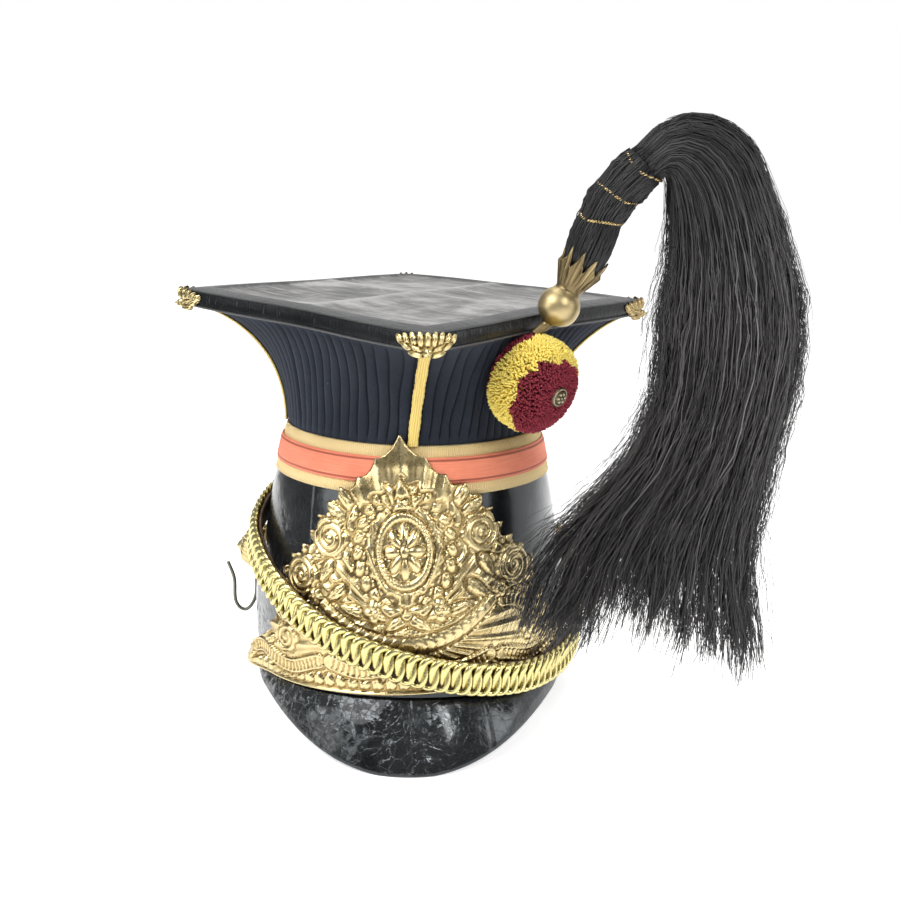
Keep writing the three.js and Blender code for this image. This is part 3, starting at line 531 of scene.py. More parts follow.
# Crown cloth: fine navy wool drawn over a stiff frame in eighty-four upright flutes, which leave the waist
# close together and fan out into the corners. It is tucked behind the lace and under the board.
RIBS, RIB_DEPTH = 84, 1.25
RIB_FADE = {"waist": 0.12, "top": 0.07}
CLOTH_WALL, CLOTH_LIP = 2.4, 1.6
WAIST_TOP = 144.0
WAIST_TURN = np.radians(-3)
WAIST_DROP, WAIST_RISE = 5.0, 1.2
FLARE = {"left": (0.8, 3.0), "right": (0.55, 1.8)}  # share of a quarter round, and power of the rest
CLOTH_HALF_DIAGONAL = TOP_HALF_DIAGONAL - TOP_SKIRT - 2 * GAP
RIB_COLUMNS, CLOTH_ROWS = 8, 44


def waist_shift(angle):
    """How far the waist lies above its level ring: it dips in front."""
    return WAIST_RISE - WAIST_DROP * np.clip(-np.sin(angle), 0, 1) ** 1.5


def cloth_point(angle, share, offset):
    """A point on the flared cloth: share 0 is the waist and 1 the underside of the board."""
    angle, share, offset = np.broadcast_arrays(angle, share, offset)
    waist = skull_point(angle + WAIST_TURN * (1 - share), WAIST_TOP + waist_shift(angle))
    square = square_point(angle, CLOTH_HALF_DIAGONAL, EDGE_BOTTOM)
    quarter_round = 1 - np.sqrt(1 - share ** 2)
    left, right = (round_ * quarter_round + (1 - round_) * share ** power for round_, power in FLARE.values())
    flare = left + (right - left) * (1 + np.cos(angle)) / 2
    point = waist + (square - waist) * flare[..., None]
    point[..., 2] = waist[..., 2] + (square[..., 2] - waist[..., 2]) * share
    point[..., :2] += unit(point[..., :2]) * offset[..., None]
    return point


chance = np.random.default_rng(7)
groove_sway = chance.normal(0, 0.08, (3, RIBS))
groove_phase = chance.uniform(0, 2 * np.pi, (3, RIBS))
rib_height = chance.uniform(0.55, 1.0, RIBS)


def rib_angles(share):
    """Where each column of the cloth lies: evenly across every flute, between its two wavering grooves."""
    wander = sum(sway * np.sin(2 * np.pi * (0.6 * k + 0.4) * share + phase)
                 for k, (sway, phase) in enumerate(zip(groove_sway, groove_phase)))
    grooves = (np.arange(RIBS) + 0.5 + wander * smoothstep(share, 0, 0.2)) / RIBS
    grooves = np.append(grooves, grooves[0] + 1)
    across_rib = np.arange(RIB_COLUMNS) / RIB_COLUMNS
    return 2 * np.pi * (grooves[:-1, None] + np.diff(grooves)[:, None] * across_rib).ravel()


rib_swell = 1 - np.abs(2 * np.arange(RIB_COLUMNS) / RIB_COLUMNS - 1) ** 2.6
rib_profile = (rib_height[:, None] * rib_swell).ravel()
cloth_shares = np.linspace(0, 1, CLOTH_ROWS)
fade = np.minimum(cloth_shares / RIB_FADE["waist"] + 0.25, (1 - cloth_shares) / RIB_FADE["top"]).clip(max=1)
cloth_rows = [skull_point(rib_angles(0) + WAIST_TURN, SKULL_TOP + GAP, 0.0)]
cloth_rows += [cloth_point(rib_angles(s), s, RIB_DEPTH * f * rib_profile) for s, f in zip(cloth_shares, fade)]
cloth_rows += [square_point(rib_angles(1), CLOTH_HALF_DIAGONAL - CLOTH_WALL, EDGE_BOTTOM + CLOTH_LIP)]
cloth_rows += [cloth_point(rib_angles(s), s, -CLOTH_WALL) for s in (0.88, 0.7, 0.4, 0.15)]
cloth_rows += [skull_point(rib_angles(0) + WAIST_TURN, SKULL_TOP + GAP, -CLOTH_WALL)]
cloth_points = np.concatenate(cloth_rows)
# The swell mark is one on the flutes and low in the grooves; the navy cloth paints shade into the grooves
# from it.
groove_shade_mark = np.ones((len(cloth_rows), RIBS * RIB_COLUMNS))
groove_shade_mark[1:CLOTH_ROWS + 1] = 1 - fade[:, None] * (1 - np.tile(rib_swell, RIBS))
cloth_net = net(len(cloth_rows), RIBS * RIB_COLUMNS, endless=True)
cloth_faces = outward(cloth_points, cloth_net)
cloth = made("crown_cloth_fluted", cloth_points, cloth_faces, marks={"swell": groove_shade_mark})

wool = Finish("navy_cloth")
swell = wool.mark("swell")
nap = wool.noise(900.0, detail=6.0, roughness=0.7)
threads = wool.cells(1500.0)
fading = wool.noise(28.0, detail=4.0)
navy = wool.ramp(wool.mix(0.35, fading, nap), (0.32, (0.011, 0.014, 0.021)), (0.68, (0.026, 0.031, 0.042)))
# Painted shade: the grooves between the flutes are darkened to near black.
navy = wool.mix(wool.ramp(swell, (0.0, 1.0), (0.55, 0.0)), navy, (0.002, 0.003, 0.005))
lint = wool.times(wool.ramp(wool.cells(240.0), (0.0, 1.0), (0.09, 0.0)),
                  wool.ramp(wool.noise(55.0, detail=3.0), (0.56, 0.0), (0.66, 1.0)))
normal = wool.bumps((wool.noise(70.0, detail=4.0), 0.35), (threads, 0.12), (nap, 0.10))
wool.surface(base_color=wool.tint(navy, lint, 0.6, (0.30, 0.31, 0.32)), normal=normal,
             roughness=0.95, specular_ior_level=0.12, sheen_weight=0.1, sheen_roughness=0.5,
             sheen_tint=(0.75, 0.82, 1.0))
fitted(cloth, wool.material, "navy_cloth", "crown_cloth")


# Waist lace: a woven band of gold-yellow worsted round the join of skull and cloth. Its face is ribbed
# upright, its upper edge ends in small picots, and a few stitches hold it down.
LACE_BOTTOM, LACE_TOP = 120.0, WAIST_TOP
LACE_INNER, LACE_OUTER = 2 * GAP, 2 * GAP + 1.2
PICOTS, PICOT_RISE = 420, 0.5


def run_of(path):
    """The run along a path at each of its points."""
    return np.concatenate([[0], np.cumsum(np.linalg.norm(np.diff(path, axis=0), axis=1))])


def waist_band(name, rows, steps, tooth_rows=(), teeth=0.0):
    """A closed hoop on the skull through rows of (height, offset), with picots on the rows that are named."""
    angle = turns(steps)
    shift, tooth = waist_shift(angle), np.resize([1.0, 0.1, -0.8], steps) * teeth
    points = np.concatenate([skull_point(angle, h + shift + (tooth if i in tooth_rows else 0), off)
                             for i, (h, off) in enumerate(rows)])
    lay = laid(run_of(skull_point(angle, rows[0][0])), np.array(rows)[:, 0])
    return made(name, points, outward(points, net(len(rows), steps, endless=True)), lay=lay)


def band_rows(bottom, top, inside, outside, count, bow=0.0):
    """The rows of a band's section: up its face, with eased edges, and down its back."""
    shares = np.linspace(0, 1, count)
    face = [(bottom + (top - bottom) * t, outside + bow * np.sin(np.pi * t)) for t in shares]
    ease = 0.35 * (outside - inside)
    return [(bottom - 0.05, inside + ease), (bottom + 0.02, outside - ease), *face[1:-1],
            (top - 0.02, outside - ease), (top + 0.05, inside + ease), (top - 0.4, inside),
            (bottom + 0.4, inside)]


lace_rows = band_rows(LACE_BOTTOM, LACE_TOP, LACE_INNER, LACE_OUTER, 8, 0.1)
picot_rows = range(len(lace_rows) - 5, len(lace_rows) - 2)
lace_band = waist_band("waist_lace_band", lace_rows, 3 * PICOTS, picot_rows, PICOT_RISE)


def lace_finish(name, pale_thread, deep_thread):
    """Ribbed worsted lace: rounded upright cords, a fine cross thread and a little grime."""
    braid = Finish(name)
    lay = braid.lay()
    cords = braid.waves(lay, 1.12, "X", warp=0.25)
    picks = braid.waves(lay, 0.62, "Y", warp=0.4)
    fuzz = braid.noise(1500.0, detail=5.0, roughness=0.7)
    grime = braid.noise(45.0, detail=6.0, roughness=0.65)
    thread = braid.ramp(braid.mix(0.3, cords, fuzz), (0.05, deep_thread), (0.5, pale_thread))
    soiled = braid.mix(braid.ramp(grime, (0.55, 0.0), (0.8, 0.35)), thread, (0.55, 0.38, 0.15))
    braid.surface(base_color=soiled, normal=braid.bumps((cords, 0.28), (picks, 0.10), (fuzz, 0.08)),
                  roughness=0.8, specular_ior_level=0.3, sheen_weight=0.3, sheen_roughness=0.4,
                  sheen_tint=(1.0, 0.9, 0.65))
    return braid.material


waist_yarn = lace_finish("yellow_lace", (0.87, 0.675, 0.345), (0.76, 0.53, 0.20))
fitted(lace_band, waist_yarn, "yellow_lace", "waist_lace")


# Waist ribbon: a coral-red silk and worsted ribbon laid along the middle of the lace and stitched close
# to both edges, where a darker line shows.
RIBBON_BOTTOM, RIBBON_TOP = 125.8, 138.6
RIBBON_INNER = LACE_OUTER + 2 * GAP
RIBBON_WALL, RIBBON_BOW, RIBBON_STEPS = 0.8, 0.15, 420
ribbon_rows = band_rows(RIBBON_BOTTOM, RIBBON_TOP, RIBBON_INNER - 0.3, RIBBON_INNER + RIBBON_WALL, 7,
                        RIBBON_BOW)
ribbon = waist_band("waist_ribbon_band", ribbon_rows, RIBBON_STEPS)
silk = Finish("red_ribbon")
lay = silk.lay()
rise_share = silk.span(silk.axis(lay, 1), RIBBON_BOTTOM, RIBBON_TOP)
edges = silk.ramp(rise_share, (0.06, 0.0), (0.10, 1.0), (0.13, 1.0), (0.17, 0.0), (0.83, 0.0), (0.87, 1.0),
                  (0.90, 1.0), (0.94, 0.0))
weft = silk.waves(lay, 0.55, "X", warp=0.6)
warp_lines = silk.noise(0.9, detail=4.0, at=silk.stretch(lay, 0.06, 2.2, 1.0))
faded = silk.noise(30.0, detail=5.0)
red = silk.ramp(silk.mix(0.5, faded, warp_lines), (0.33, (0.72, 0.17, 0.095)), (0.66, (0.93, 0.32, 0.19)))
red = silk.tint(red, edges, 0.75, (0.20, 0.025, 0.016))
normal = silk.bumps((weft, 0.10), (warp_lines, 0.14), (edges, -0.25))
silk.surface(base_color=red, normal=normal, roughness=0.62, specular_ior_level=0.35, sheen_weight=0.2,
             sheen_roughness=0.4, sheen_tint=(1.0, 0.6, 0.5))
fitted(ribbon, silk.material, "red_ribbon", "waist_ribbon")


# Corner lace: four narrow strips of the same yellow braid, folded over the corners of the crown from
# the waist to the board and sewn down along both sides.
CORNERS = {"front": FRONT, "right": 0.0, "back": np.pi / 2, "left": np.pi}
STRIP_HALF, STRIP_WALL = 2.7, 1.1
STRIP_SHARES = np.linspace(0.005, 0.965, 80)
STRIP_INNER = 1.2 + 2 * GAP
STRIP_FRAY = ((0.025, 4.9, 0), (0.04, 1.7, 1), (0.05, 0.4, 2))  # depth, pace, turns to the next corner
strip_sides = np.linspace(-1, 1, 13)
strip_ring = [(s, STRIP_INNER + STRIP_WALL * (0.45 + 0.55 * (1 - s ** 4))) for s in strip_sides]
strip_ring += [(s, STRIP_INNER - 0.25) for s in (0.96, 0.0, -0.96)]
strip_yarn = lace_finish("corner_braid", (0.88, 0.68, 0.22), (0.64, 0.42, 0.08))
for name, angle in CORNERS.items():
    ridge = cloth_point(angle, STRIP_SHARES, 0.0)
    reach = STRIP_HALF / np.linalg.norm(ridge[:, :2], axis=1)
    run = run_of(ridge)
    fray = 1 + sum(depth * np.sin(run * pace + turn * angle) for depth, pace, turn in STRIP_FRAY)
    sections = [cloth_point(angle + s * reach * fray, STRIP_SHARES, off) for s, off in strip_ring]
    points, faces = capped(np.stack(sections, 1))
    lay = np.concatenate([laid(np.array([STRIP_HALF * s for s, _ in strip_ring]), run), np.zeros((2, 2))])
    strip = made(f"corner_lace_strip_{name}", points, faces, lay=lay)
    fitted(strip, strip_yarn, "yellow_lace", f"corner_lace_{name}")


# Corner ornaments: four small gilt castings, a fan of leaves over a little flower, bent round the
# corners of the board and pinned through its edge. Their gilding is rubbed and dark in the hollows.
ORNAMENT_HALF_ANGLE = np.radians(7.8)
ORNAMENT_HALF, ORNAMENT_PITCH = 16.5, 0.36
ORNAMENT_LEAVES = [  # across, up, half length, half width, degrees above level
    (0, 1.9, 3.5, 1.5, 90), (3.2, 1.8, 3.5, 1.5, 84), (6.4, 1.4, 3.3, 1.5, 76), (9.6, 0.9, 3.0, 1.55, 66),
    (12.7, 0.5, 2.6, 1.6, 56), (5.4, -2.6, 3.9, 1.5, 20), (9.6, -2.3, 3.0, 1.3, 28), (5.0, -5.1, 3.7, 1.4, 6),
]
ORNAMENT_HUB, HUB_SIZE = (0.0, -3.4), 2.5
ORNAMENT_LOW, ORNAMENT_HIGH, ORNAMENT_SEAT = -7.0, 6.6, 5.4
FACET, RIM_PASSES, RIM_STEP = 4, 3, 0.02
# Painted light and shade: how much lighter or darker each ornament is laid, by the side of the cap it stands
# on.
ORNAMENT_SIDE_SHADE = {"front": 0.05, "right": -0.9, "back": -0.6, "left": -0.45}


def softened(chart, passes):
    """A chart of heights, evened out with its neighbours once at every pass."""
    for _ in range(passes):
        wide = np.pad(chart, 1, mode="edge")
        chart = chart / 2 + (wide[:-2, 1:-1] + wide[2:, 1:-1] + wide[1:-1, :-2] + wide[1:-1, 2:]) / 8
    return chart


def relief(name, x, y, inside, height, back, lay_on, rubbed=None):
    """A closed casting from a chart of heights: the part of the chart that is inside the outline, trimmed
    to it, with an upright edge and a plain back of larger facets, laid on its seat by lay_on(x, y, height).
    The mark worn is how far a place stands above what is round it, with rubbed(x, y) added, which paints
    light and shade by place."""
    X, Y = np.meshgrid(x, y)
    columns = len(x)
    chart = height(X, Y)
    proud = (chart - softened(chart, 14) + (rubbed(X, Y) if rubbed else 0)).ravel()
    field = inside(X, Y)
    cell = (field[:-1, :-1] + field[1:, :-1] + field[:-1, 1:] + field[1:, 1:]) > 0
    r, c = np.nonzero(cell)
    corner = r * columns + c
    top = np.stack([corner, corner + 1, corner + columns + 1, corner + columns], -1)
    edges = np.concatenate([top[:, [k, (k + 1) % 4]] for k in range(4)])
    codes = edges[:, 0] * X.size + edges[:, 1]
    rim = edges[~np.isin(edges[:, 1] * X.size + edges[:, 0], codes)]
    X, Y = X.ravel().copy(), Y.ravel().copy()
    on_rim = np.unique(rim)
    most = 0.55 * (x[1] - x[0])
    for _ in range(RIM_PASSES):
        a, b = X[on_rim], Y[on_rim]
        value = inside(a, b)
        slope = np.stack([inside(a + RIM_STEP, b) - value, inside(a, b + RIM_STEP) - value]) / RIM_STEP
        move = np.clip(value * slope / np.maximum((slope ** 2).sum(0), 0.05), -most, most)
        X[on_rim] -= move[0]
        Y[on_rim] -= move[1]
    used, packed = np.unique(top, return_inverse=True)
    X, Y, count = X[used], Y[used], len(used)
    points = np.concatenate([lay_on(X, Y, height(X, Y)), lay_on(X, Y, np.full(count, back))])
    top, rim = packed.reshape(-1, 4), np.searchsorted(used, rim)
    facet = used // columns // FACET * columns + used % columns // FACET
    _, lead, member = np.unique(facet, return_index=True, return_inverse=True)
    merged = np.where(np.isin(facet, facet[rim]), np.arange(count), lead[member])
    walls = np.stack([rim[:, 1], rim[:, 0], rim[:, 0] + count, rim[:, 1] + count], -1)
    quads = np.concatenate([top, merged[top[:, ::-1]] + count, walls])
    faces = np.concatenate([quads[:, :3], quads[:, [0, 2, 3]]])
    whole = (faces[:, 0] != faces[:, 1]) & (faces[:, 1] != faces[:, 2]) & (faces[:, 2] != faces[:, 0])
    kept, faces = np.unique(outward(points, faces[whole]), return_inverse=True)
    worn = np.concatenate([proud[used], np.full(count, -1.0)])
    return made(name, points[kept], faces.reshape(-1, 3), marks={"worn": worn[kept]})


def oval(X, Y, cx, cy, long, short, turn=0.0):
    """Nought at the middle of an oval and one at its edge, with the place along and across it."""
    u = (X - cx) * np.cos(turn) + (Y - cy) * np.sin(turn)
    v = (Y - cy) * np.cos(turn) - (X - cx) * np.sin(turn)
    return np.sqrt((u / long) ** 2 + (v / short) ** 2), u, v


def dome(share):
    """The height of a round dome at a share of the way from its middle to its edge."""
    return np.sqrt(np.clip(1 - share ** 2, 0, 1))


def ornament_leaves(X, Y):
    for cx, cy, long, short, turn in ORNAMENT_LEAVES:
        yield short, *oval(np.abs(X), Y, cx, cy, long, short, np.radians(turn))


def ornament_hub(X, Y):
    d, u, v = oval(X, Y, *ORNAMENT_HUB, HUB_SIZE, HUB_SIZE)
    return d / (0.8 + 0.2 * np.abs(np.sin(2 * np.arctan2(v, u))))


def ornament_inside(X, Y):
    web = (1 - oval(X, Y, 0, -0.8, 12.0, 3.9)[0]) * 3.9
    tips = [(1 - d) * short for short, d, _, _ in ornament_leaves(X, Y)]
    return np.maximum.reduce([(1 - ornament_hub(X, Y)) * HUB_SIZE, web, *tips])


def ornament_height(X, Y):
    tall = 0.3 + 0 * X
    for _, d, u, v in ornament_leaves(X, Y):
        tall = np.where(d < 1.25, np.minimum(tall, 0.15), tall)
        tall = np.where(d < 1, 0.5 + 2.2 * dome(d) * (1 - 0.4 * hump(v, 0.35)), tall)
    d = ornament_hub(X, Y)
    tall = np.where(d < 1.25, np.minimum(tall, 0.15), tall)
    tall = np.where(d < 1, 0.8 + 2.2 * dome(d), tall)
    return np.where(d < 0.45, 1.4 + 2.4 * dome(d / 0.45), tall)


def cast_metal(name, bright, dull, deep, low, high, gloss=(0.24, 0.5)):
    """Worn brass: bright on what the hand rubs, brown in every hollow, with fine pits and stains."""
    metal = Finish(name)
    worn = metal.span(metal.mark("worn"), low, high)
    stains = metal.noise(85.0, detail=6.0, roughness=0.65)
    pits = metal.noise(900.0, detail=5.0, roughness=0.7)
    rubbed = metal.math("ADD", worn, metal.math("MULTIPLY_ADD", stains, 0.6, 0.2), clamp=True)
    tone = metal.ramp(rubbed, (0.0, deep), (0.45, dull), (1.0, bright))
    metal.surface(base_color=tone, metallic=1.0, normal=metal.bumps((stains, 0.12), (pits, 0.035)),
                  roughness=metal.ramp(metal.mix(0.5, stains, pits), (0.35, gloss[0]), (0.68, gloss[1])))
    return metal.material


ornament_gilt = cast_metal("ornament_gilt", (0.70, 0.58, 0.30), (0.29, 0.21, 0.095), (0.02, 0.013, 0.006),
                           -0.5, 0.45, (0.2, 0.4))
across_ornament = np.arange(-ORNAMENT_HALF, ORNAMENT_HALF + 0.01, ORNAMENT_PITCH)
up_ornament = np.arange(ORNAMENT_LOW, ORNAMENT_HIGH, ORNAMENT_PITCH)
for name, angle in CORNERS.items():
    def on_corner(X, Y, out, angle=angle):
        spread = angle + X / ORNAMENT_HALF * ORNAMENT_HALF_ANGLE
        return square_point(spread, TOP_HALF_DIAGONAL + 2 * GAP + out, TOP_HEIGHT - ORNAMENT_SEAT + Y)

    ornament = relief(f"corner_ornament_leaves_{name}", across_ornament, up_ornament, ornament_inside,
                      ornament_height, 0.3, on_corner, lambda X, Y, name=name: ORNAMENT_SIDE_SHADE[name] + 0 * X)
    fitted(ornament, ornament_gilt, "ornament_gilt", f"corner_ornament_{name}")


# Plate: a fluted star of rays stamped in thin brass, bent to the skull and pinned through it. Raised
# work covers it: a flower in a beaded oval, a shell, laurel, scrolls, a swag and plain ribbons.
PLATE_TURN, PLATE_LEAN = np.radians(-5.5), np.radians(3.3)
PLATE_MIDDLE, PLATE_GAP = 94.0, 0.7
PLATE_HALF, PLATE_BASE, PLATE_RIM = 120.0, -75.0, 2.2
PLATE_TOP, PLATE_PITCH = 53.5, 0.65
PLATE_LIFT = {"over_lace": 3.1, "left_wing": 5.0}
RAY_HUB = -45.0
RAY_REACH = np.array([  # degrees above level, millimetres from the hub
    [-11.8, 122.6], [-2, 86.0], [7.8, 80.8], [24.3, 77.9], [40.3, 69.5], [60.7, 75.7], [74.9, 78.5],
    [82.5, 86.5], [90, 97],
])
RAY_STEP, RAY_NOTCH = 7.5, 3.4
PLATE_FLOOR, MOAT, BEND_SLICES = 0.25, 1.0, 24


def plate_ray(X, Y):
    """The outer reach of the rays in each direction, and the place across a ray, from tip to tip."""
    lift = np.degrees(np.arctan2(Y - RAY_HUB, np.abs(X)))
    share = (90 - lift) / RAY_STEP % 1
    reach = np.interp(lift, RAY_REACH[:, 0], RAY_REACH[:, 1])
    return reach - RAY_NOTCH * (1 - (2 * share - 1) ** 2), share


def plate_inside(X, Y):
    reach, _ = plate_ray(X, Y)
    return np.minimum.reduce([reach - np.hypot(X, Y - RAY_HUB), Y - PLATE_BASE, PLATE_HALF - np.abs(X)])


def set_on(tall, inset, form):
    """Sets a raised form on the chart, by its depth inside the form's edge, with a narrow moat round it."""
    tall = np.where((inset > -MOAT) & (inset <= 0), np.minimum(tall, PLATE_FLOOR), tall)
    return np.where(inset > 0, form, tall)


def along_path(X, Y, path):
    """The distance to a path of points and the run along it at the nearest place."""
    path = np.asarray(path, float)
    starts, steps = run_of(path), np.diff(path, axis=0)
    lengths = np.diff(starts)
    near, run = np.full(X.shape, 1e9), np.zeros(X.shape)
    for (ax, ay), (dx, dy), length, start in zip(path, steps, lengths, starts):
        t = np.clip(((X - ax) * dx + (Y - ay) * dy) / length ** 2, 0, 1)
        side = np.hypot(X - ax - t * dx, Y - ay - t * dy)
        run = np.where(side < near, start + t * length, run)
        near = np.minimum(near, side)
    return near, run


def set_leaf(tall, X, Y, cx, cy, long, short, turn, top=2.1):
    _, u, v = oval(X, Y, cx, cy, long, short, np.radians(turn))
    pointed = np.hypot(u / long, v / (short * np.clip(1.12 - 0.45 * u / long, 0.4, 1.6)))
    vein = 1 - 0.34 * hump(v, 0.42) - 0.10 * np.sin(2.1 * (np.abs(v) + 0.8 * u))
    return set_on(tall, (1 - pointed) * short, 0.55 + (top - 0.55) * dome(pointed) * vein)


def set_ribbon(tall, X, Y, path, half, top=1.7):
    near, run = along_path(X, Y, path)
    hatch = 0.28 * np.sign(np.sin(run * 2.2)) * (near < half - 1.6)
    wavy = 0.9 + 0.35 * np.sin(run / 5.0)
    return set_on(tall, half - near, wavy + (top - 1.0) * hump(near - half + 0.8, 0.55) + hatch)


def polar(X, Y, cx=0.0, cy=0.0):
    return np.hypot(X - cx, Y - cy), np.arctan2(Y - cy, X - cx)


def set_scroll(tall, X, Y, cx, cy, size, twist, width=3.4, top=2.2):
    r, angle = polar(X, Y, cx, cy)
    coil = (r / width - twist * angle / (2 * np.pi)) % 1
    wound = PLATE_FLOOR + (top - PLATE_FLOOR) * dome(2 * coil - 1) ** 0.8
    return set_on(tall, size - r + 0.9 * np.cos(6 * angle), np.maximum(wound, 0.8 + 1.9 * dome(r / 2.4)))


def set_flower(tall, X, Y, cx, cy, size, petals, top=2.2):
    r, angle = polar(X, Y, cx, cy)
    lobe = np.abs(np.cos(petals * angle / 2))
    edge, pearl = size * (0.72 + 0.28 * lobe), 0.26 * size
    cup = 0.7 + (top - 0.7) * np.sin(np.pi * np.clip(r / edge, 0, 1) ** 0.9) * (0.45 + 0.55 * lobe)
    return set_on(tall, edge - r, np.where(r < pearl, 0.9 + 1.7 * dome(r / pearl), cup))


FESTOON = [(x, -50 + 24 * (x / 48) ** 2) for x in np.linspace(0, 48, 26)]
LOWER_RIBBON = [(x, -60.5 + 2.6 * np.cos(x / 7.5)) for x in np.linspace(0, 40, 30)]
WING_RIBBON = [(x, -62.5 + 3.0 * np.cos((x - 44) / 8.0)) for x in np.linspace(47, 103, 40)]
SIDE_RIBBON = [(x, -37 + 0.012 * (x - 66) ** 2 - 2.4 * np.sin(x / 5)) for x in np.linspace(50, 79, 24)]
OVAL_MIDDLE, OVAL_LONG, OVAL_SHORT = -4.0, 18.5, 13.6
SPRAY_LEAVES, WING_RELIEF = 9, 0.8
LAUREL = [  # across, up, half length, half width, degrees above level
    (29, 23, 8, 2.6, 62), (35, 15.5, 7, 2.6, 35), (46, 14, 8, 2.6, 62), (52, 6, 8, 2.7, 40),
    (59, 1, 8, 2.6, 60), (66, -7, 8, 2.6, 38), (71, -14, 7.5, 2.6, 58), (74, -22, 7, 2.5, 20),
    (78, -29, 6.5, 2.4, 40),
    (25, 12, 6, 2.2, 110), (47, -7, 6, 2.2, -30), (62, -29, 6, 2.3, -20), (41, -14, 6.5, 2.4, -60),
    (36, -25, 7, 2.5, -38), (27, -32, 7, 2.4, 18), (88, -56, 7, 2.4, -28), (98, -63, 6.5, 2.3, -36),
]


def plate_height(X, Y):
    """The raised work, from the fluted rays up to the flower in the oval. A is the way out to either side."""
    A = np.abs(X)
    _, share = plate_ray(X, Y)
    tall = 0.5 + 1.3 * np.abs(2 * share - 1) ** 1.2 + 0.4 * hump(share - 0.5, 0.09)
    tall = tall + 0.10 * np.sin(np.hypot(X, Y - RAY_HUB) / 1.7)
    for x in np.arange(3.2, 112, 6.4):
        tall = set_leaf(tall, A, Y, x, -68.6, 3.7, 2.7, 90, 2.3)
    for leaf in LAUREL:
        tall = set_leaf(tall, A, Y, *leaf)
    for scroll in ((57, -17, 10.5, -1), (38, 2, 9.6, 1), (69, -50, 7.5, 1, 3.0)):
        tall = set_scroll(tall, A, Y, *scroll)
    for path, half in ((SIDE_RIBBON, 3.6), (WING_RIBBON, 3.9), (LOWER_RIBBON, 3.9)):
        tall = set_ribbon(tall, A, Y, path, half)
    near, run = along_path(A, Y, FESTOON)
    girth = 4.6 - 0.035 * run
    husks = 0.72 + 0.28 * ((run + near * 0.7) / 4.6 % 1)
    tall = set_on(tall, girth - near, 0.6 + 1.9 * dome(near / girth) * husks)
    for k in range(SPRAY_LEAVES):
        turn = np.radians(-62 + 128 * k / (SPRAY_LEAVES - 1))
        cx, cy = 22.4 * np.cos(turn), OVAL_MIDDLE + 26.5 * np.sin(turn)
        for lean in (-30, 30):
            tall = set_leaf(tall, A, Y, cx, cy, 4.4, 1.7, np.degrees(turn) + 90 + lean, 1.9)
    for lean, length in ((-66, 10), (-34, 11), (34, 11), (66, 10), (0, 12)):
        turn = np.radians(90 - lean)
        tall = set_leaf(tall, X, Y, 0.55 * length * np.cos(turn), 17 + 0.55 * length * np.sin(turn),
                        0.52 * length, 2.7, np.degrees(turn), 2.3)
    tall = set_flower(tall, X, Y, 0, 16.5, 4.6, 6)
    tall = set_flower(tall, A, Y, 15, -33, 6.4, 5)
    tall = set_flower(tall, A, Y, 48, -27, 4.6, 6)
    for leaf in ((6.5, -33, 6, 3, 24), (6, -39, 6, 2.4, -32), (0, -34.5, 2.6, 2.6, 0)):
        tall = set_leaf(tall, A, Y, *leaf, 2.2)
    d, u, v = oval(X, Y, 0, OVAL_MIDDLE, OVAL_LONG, OVAL_SHORT, np.pi / 2)
    turn = np.arctan2(u / OVAL_LONG, v / OVAL_SHORT)
    ring = 1.3 + 1.1 * dome((d - 0.9) / 0.1) * (0.75 + 0.25 * np.cos(44 * turn))
    tall = set_on(tall, (1 - d) * OVAL_SHORT, np.where(d > 0.8, ring, 0.75 + 0.5 * (1 - d)))
    petal = np.abs(np.cos(4 * turn))
    petal_end = 0.42 + 0.3 * petal
    bloom = 0.9 + 1.5 * np.sin(np.pi * np.clip(d / petal_end, 0, 1)) * (0.4 + 0.6 * petal)
    tall = set_on(tall, (petal_end - d) * OVAL_SHORT, bloom)
    tall = np.where(d < 0.16, 1.2 + 1.4 * dome(d / 0.16), tall)
    tall = tall * (1 + WING_RELIEF * smoothstep(-X, 60, 85) * (1 - smoothstep(Y, -50, -42)))
    roll = dome((Y - PLATE_BASE - PLATE_RIM / 2) / (PLATE_RIM / 2))
    return np.where(Y < PLATE_BASE + PLATE_RIM, 0.7 + 1.2 * roll, tall)


def skull_frame(angle, height):
    """The point on the skull and its directions round, up and straight out."""
    point = skull_point(angle, height)
    around = unit(skull_point(np.asarray(angle) + 1e-4, height) - point)
    up = unit(skull_point(angle, np.asarray(height) + 0.01) - point)
    out = unit(np.cross(around, up))
    return point, around, np.cross(out, around), out


def on_plate(X, Y, out):
    run = X * np.cos(PLATE_LEAN) - Y * np.sin(PLATE_LEAN)
    height = PLATE_MIDDLE + X * np.sin(PLATE_LEAN) + Y * np.cos(PLATE_LEAN)
    half_width, half_depth = np.moveaxis(skull_halves(height), -1, 0)
    angle = FRONT + PLATE_TURN
    for _ in range(BEND_SLICES):
        angle = angle + run / BEND_SLICES / np.hypot(half_width * np.sin(angle), half_depth * np.cos(angle))
    point, _, _, straight = skull_frame(angle, height)
    lift = PLATE_LIFT["over_lace"] * smoothstep(height, 106, LACE_BOTTOM)
    lift = lift + PLATE_LIFT["left_wing"] * smoothstep(-X, 88, PLATE_HALF)
    return point + straight * (PLATE_GAP + out + lift)[:, None]


# Painted light and shade: the right of the plate is laid brighter and the left wing darker.
def plate_painted_light_and_shade(X, Y):
    return 0.3 * smoothstep(X, 30, 60) - 0.25 * smoothstep(-X, 48, 80)


plate = relief("plate_star", np.arange(-PLATE_HALF - 1, PLATE_HALF + 1, PLATE_PITCH),
               np.arange(PLATE_BASE - 0.4, PLATE_TOP, PLATE_PITCH), plate_inside, plate_height, 0.1, on_plate,
               plate_painted_light_and_shade)
plate_brass = cast_metal("plate_brass", (0.70, 0.57, 0.30), (0.38, 0.27, 0.11), (0.03, 0.017, 0.006),
                         -0.25, 0.45, (0.2, 0.4))
fitted(plate, plate_brass, "plate_brass", "plate")


